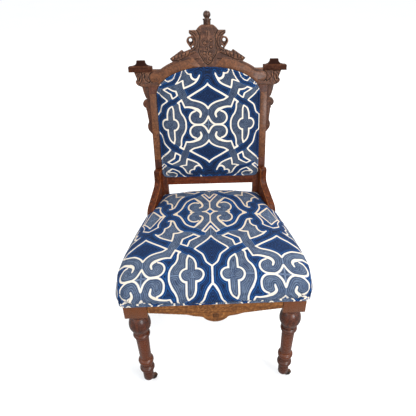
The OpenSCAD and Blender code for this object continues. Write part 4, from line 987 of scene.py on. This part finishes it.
def seatCloth(points, normals):
    lay, draw, let = seatLay, seatLay["draw"], seatLay["let"]
    flat = normals[:, :2] / (np.linalg.norm(normals[:, :2], axis=1) + 0.15)[:, None]
    away = roll(lay["steep"] - points[:, 2], lay["soft"])
    x = points[:, 0] + flat[:, 0] * away
    y = points[:, 1] + flat[:, 1] * away * np.where(flat[:, 1] < 0, lay["frontRoll"], 1.0)
    far = np.maximum(np.abs(x) - draw["from"], 0) / draw["over"]
    x = x - np.where(x > 0, draw["right"], draw["left"]) * far * far * smoothStep(y, *draw["rows"])
    tight = np.maximum(np.abs(x) - let["from"], 0) / let["over"]
    x = x + np.sign(x) * let["by"] * np.minimum(tight, let["most"]) ** 4 * smoothStep(y, *let["rows"])
    across, change = x + lay["left"], lay["change"]
    q = (across / weave["halfWidth"]) ** 2
    lifted = y + np.where(y > change, lay["lift"] * np.clip((y - change) / lay["liftOver"], 0, 1), 0) * q
    frontRows = (y + lay["front"] + lay["frontBow"] * q) / (1 + lay["frontTall"] * q)
    rearRows = lay["rearRow"] + (lifted - change) * lay["rearTall"] / lay["rearDeep"]
    return across, np.where(y < change, frontRows, rearRows)


mesh = plump(copyNode("seat_stuffing"), seatLook, lambda p: p[:, 2] < seatLook["hold"])
fillOut(mesh, "seat_stuffing")
points = readPoints(mesh)
lowerLip(points)
writePoints(mesh, points)
fillCorners(points, readNormals(mesh))
shapeRear(points)
writePoints(mesh, points)
weaveOn(mesh, seatCloth, seatLook["fuller"], seatLook["even"])
setAttribute(mesh, "aged", smoothStep(readPoints(mesh)[:, 1], *seatLook["aged"]))
seatPad = placePiece("seat_cushion", mesh, clothMaterial, ["seat_stuffing", "seat_cover"], sharp=0)
print("stage: seat cushion")

backLook = {
    "voxel": 4, "pressure": 4, "cap": 3.0, "frames": 20, "hold": -3.5, "fuller": 0.7, "even": 10,
    "rim": {"depths": (-17, -8), "out": 2.0, "arch": 0.9, "archAcross": (80, 105), "archUp": (255, 285)},
}

# How the cloth lies on the back: its scale across and up, inside and beyond the marks. It is crowded at the rims.
backLay = {
    "centre": 208, "left": 3, "steep": -14.0, "soft": 8, "wide": 1.08, "wideFrom": 68, "wideOut": 1.26,
    "tall": 1.09, "bend": 50, "tallOut": 1.21, "rim": 122, "tallRim": (0.6, 1.7), "rimAcross": (12, 62),
    "side": 0.43, "sideAcross": (70, 110), "sideUp": (0, 50),
}


def backCloth(points, normals):
    lay = backLay
    x, s, t = fromBack(points)
    nx, ns = normals[:, 0], normals[:, 1] * backSin + normals[:, 2] * backCos
    away = roll(t - lay["steep"], lay["soft"]) / (np.hypot(nx, ns) + 0.15)
    x, d = x + nx * away, s - lay["centre"] + ns * away
    far, half = np.abs(d), np.abs(x)
    rimTall = lay["tallRim"][0] + (lay["tallRim"][1] - lay["tallRim"][0]) * smoothStep(half, *lay["rimAcross"])
    tallOut = lay["tallOut"] + lay["side"] * smoothStep(half, *lay["sideAcross"]) * smoothStep(d, *lay["sideUp"])
    v = np.sign(d) * (lay["tall"] * np.minimum(far, lay["bend"]) + rimTall * np.maximum(far - lay["rim"], 0)
                      + tallOut * np.clip(far - lay["bend"], 0, lay["rim"] - lay["bend"]))
    across = np.abs(x + lay["left"])
    u = lay["wide"] * np.minimum(across, lay["wideFrom"]) + lay["wideOut"] * np.maximum(across - lay["wideFrom"], 0)
    return np.sign(x + lay["left"]) * u + weave["halfWidth"], v


# Lets the rim out to the piping, a little more at the corners of the arch.
def fillRim(points, normals):
    rim = backLook["rim"]
    x, s, t = fromBack(points)
    arch = smoothStep(np.abs(x), *rim["archAcross"]) * smoothStep(s, *rim["archUp"])
    nx, ns = normals[:, 0], normals[:, 1] * backSin + normals[:, 2] * backCos
    out = rim["out"] * smoothStep(t, *rim["depths"]) * (1 + rim["arch"] * arch) / (np.hypot(nx, ns) + 0.3)
    return points + np.stack([nx * out, ns * out * backSin, ns * out * backCos], 1)


mesh = plump(copyNode("back_stuffing"), backLook, lambda p: fromBack(p)[2] > backLook["hold"])
fillOut(mesh, "back_stuffing")
writePoints(mesh, fillRim(readPoints(mesh), readNormals(mesh)))
weaveOn(mesh, backCloth, backLook["fuller"], backLook["even"])
# Painted shade: the whole back cushion is marked to be darkened towards navy.
setAttribute(mesh, "paintedBackShade", np.ones(len(mesh.vertices)))
backPad = placePiece("back_cushion", mesh, clothMaterial, ["back_stuffing", "back_cover"], sharp=0)
print("stage: back cushion")

# Welts are pairs of cloth-covered cords. At the back a third, hidden one closes the gap to the cushion.
cords = {"seatRadius": 2.75, "seatHeights": (397.75, 403.25), "backRadius": 3.1, "sides": 10, "step": 2.5,
         "backRings": ((2.9, -4.2), (8.7, -4.2), (13.2, -6.0)), "rear": (141.7, 189.0)}
seatPlan = {"half": 245.0, "front": -270.0, "corner": 4.0, "sideFront": -208.0, "rearHalf": 180.2, "rear": 166.0}


# The seat's outline seen from above, from rear left round the front to rear right.
def seatRound(offset):
    plan, corner = seatPlan, seatPlan["corner"]
    turns = [math.pi / 2 * k / 4 for k in range(5)]
    rightHalf = [(plan["half"] + offset - corner + corner * math.sin(a),
                  plan["front"] - offset + corner - corner * math.cos(a)) for a in turns]
    rightHalf += [(plan["half"] + offset, plan["sideFront"]), (plan["rearHalf"] + offset, plan["rear"])]
    return [(-x, y) for x, y in rightHalf[::-1]] + rightHalf


# The cover's tacked edge, between the lip of the seat and the welts.
tacked = {"low": 403.5, "high": 424.0, "rows": 8, "step": 2.5, "proud": 1.5, "thick": 1.0}
bm = bmesh.new()
foot = [bm.verts.new((x, y, tacked["low"])) for x, y in evenly(seatRound(tacked["proud"]), tacked["step"])]
edges = [bm.edges.new(pair) for pair in zip(foot[:-1], foot[1:])]
for _ in range(tacked["rows"]):
    grown = bmesh.ops.extrude_edge_only(bm, edges=edges)["geom"]
    bmesh.ops.translate(bm, verts=[v for v in grown if isinstance(v, bmesh.types.BMVert)],
                        vec=(0, 0, (tacked["high"] - tacked["low"]) / tacked["rows"]))
    edges = [e for e in grown if isinstance(e, bmesh.types.BMEdge)]
bmesh.ops.recalc_face_normals(bm, faces=bm.faces)
if sum(f.normal.x * f.calc_center_median().x for f in bm.faces) < 0:
    bmesh.ops.reverse_faces(bm, faces=bm.faces)
bmesh.ops.solidify(bm, geom=bm.faces, thickness=tacked["thick"])
mesh = toMesh("seat_cover_edge", bm)
weaveOn(mesh, seatCloth)
placePiece("seat_cover_edge", mesh, clothMaterial, [])

# The seat's cords carry the cloth cut along its rows, so the pattern runs along them.
cordLay = {"side": 240, "sideShift": 60, "frontShift": 40, "row": 26, "middle": 400.5, "tall": 2.4}
bm = bmesh.new()
rearHalf, rear = cords["rear"]
for z in cords["seatHeights"]:
    for line in (seatRound(cords["seatRadius"]), [(-rearHalf, rear), (rearHalf, rear)]):
        merge(bm, tube(evenly([(x, y, z) for x, y in line], cords["step"]), cords["seatRadius"], cords["sides"]))
mesh = toMesh("seat_piping", bm)
x, y, z = readPoints(mesh).T
u = np.where(np.abs(x) > cordLay["side"], np.abs(y) + cordLay["sideShift"], x + cordLay["frontShift"])
slateSide, lineSide = weavePattern(u, cordLay["row"] + (z - cordLay["middle"]) * cordLay["tall"])
setAttribute(mesh, "slate", slateSide)
setAttribute(mesh, "line", lineSide)
placePiece("seat_piping", mesh, clothMaterial, ["seat_welt"], sharp=0)

panel = {"half": 157, "low": 27, "corner": 17, "spring": 295, "rise": 80}


# The outline of the back's panel on its plane: the arch, then down the left side and up the right.
def panelRound(offset):
    half, low, corner = panel["half"] - offset, panel["low"] + offset, panel["corner"] - offset
    turns = [math.pi * k / 40 for k in range(41)]
    arch = [(half * math.cos(a), panel["spring"] + (panel["rise"] - offset) * math.sin(a)) for a in turns]
    turns = [math.pi / 2 * k / 6 for k in range(7)]
    left = [(corner - half - corner * math.cos(a), low + corner - corner * math.sin(a)) for a in turns]
    return arch + left + [(-x, s) for x, s in left[::-1]]


bm = bmesh.new()
for offset, level in cords["backRings"]:
    path = evenly([onBack(x, s, level) for x, s in panelRound(offset)], cords["step"], True)
    merge(bm, tube(path, cords["backRadius"], cords["sides"], True))
mesh = toMesh("back_piping", bm)
weaveOn(mesh, lambda points, normals: backCloth(points, normals * 0))
placePiece("back_piping", mesh, clothMaterial, ["back_welt"], sharp=0)
print("stage: piping")

# Straps of webbing under the seat, woven over and under each other.
webLook = {"wide": 50, "thick": 1.3, "step": 8, "columns": 6, "crown": 0.12, "wave": 1.45, "under": 31,
           "low": 425.1, "high": 426.6,
           "crossings": (-102, -34, 34, 102), "rows": (-165, -99, -33, 33), "front": -262, "rear": 178,
           "frontHalf": 229.5, "narrowing": 0.1732, "narrowFrom": -215}


def strap(start, end, across, wave):
    start, end, across, up = Vector(start), Vector(end), Vector(across), Vector((0, 0, 1))
    count = max(4, round((end - start).length / webLook["step"]))
    bm = bmesh.new()
    bmesh.ops.create_grid(bm, x_segments=count, y_segments=webLook["columns"], size=0.5)
    for vert in bm.verts:
        p = start.lerp(end, vert.co.x + 0.5)
        lift = webLook["wave"] * wave(p) + webLook["crown"] * math.cos(math.pi * vert.co.y)
        vert.co = p + across * vert.co.y * webLook["wide"] + up * lift
    bm.normal_update()
    bmesh.ops.solidify(bm, geom=bm.faces, thickness=webLook["thick"])
    return bm


def overUnder(value, places, first):
    near = [math.exp(-((value - place) / webLook["under"]) ** 4) for place in places]
    return sum(near[i] for i in range(len(places)) if (i + first) % 2)


bm = bmesh.new()
for i, x in enumerate(webLook["crossings"]):
    merge(bm, strap((x, webLook["front"], webLook["low"]), (x, webLook["rear"], webLook["low"]), (-1, 0, 0),
                    lambda p, i=i: overUnder(p.y, webLook["rows"], i)))
for j, y in enumerate(webLook["rows"]):
    half = webLook["frontHalf"] - webLook["narrowing"] * (y - webLook["narrowFrom"])
    merge(bm, strap((-half, y, webLook["high"]), (half, y, webLook["high"]), (0, 1, 0),
                    lambda p, j=j: -overUnder(p.x, webLook["crossings"], j)))
placePiece("seat_web", toMesh("seat_web", bm), juteCloth, ["seat_webbing"])
linings = [("seat_burlap", "seat_hessian", juteCloth, "jute"), ("dust_lining", "dust_cover", liningCloth, "lining"),
           ("back_web", "back_webbing", juteCloth, "jute")]
for name, node, material, slot in linings:
    placePiece(name, toMesh(name, soften(copyNode(node), 0.3, 1)), material, [node])

# The outside back is the same cloth, laid smooth over the frame's rear.
outer = {"half": 141, "spring": 295, "rise": 74, "low": 12, "front": 16.5, "thick": 1.7, "columns": 110, "rows": 150}
bm = bmesh.new()
bmesh.ops.create_grid(bm, x_segments=outer["columns"], y_segments=outer["rows"], size=0.5)
for vert in bm.verts:
    up = math.sin(math.pi / 2 * (vert.co.y + 0.5))
    s = outer["low"] + (outer["spring"] + outer["rise"] - outer["low"]) * up
    half = outer["half"] * math.sqrt(max(0.0, 1 - max(0.0, (s - outer["spring"]) / outer["rise"]) ** 2))
    vert.co = onBack(half * 2 * vert.co.x, s, outer["front"])
bmesh.ops.remove_doubles(bm, verts=bm.verts, dist=0.01)
bmesh.ops.recalc_face_normals(bm, faces=bm.faces)
bmesh.ops.solidify(bm, geom=bm.faces, thickness=-outer["thick"])
mesh = toMesh("outer_back", bm)
weaveOn(mesh, backCloth)
# Painted shade: the outside back is marked to be darkened towards navy, like the cushion.
setAttribute(mesh, "paintedBackShade", np.ones(len(mesh.vertices)))
placePiece("outer_back", mesh, clothMaterial, ["outside_back"])
print("stage: linings and outside back")
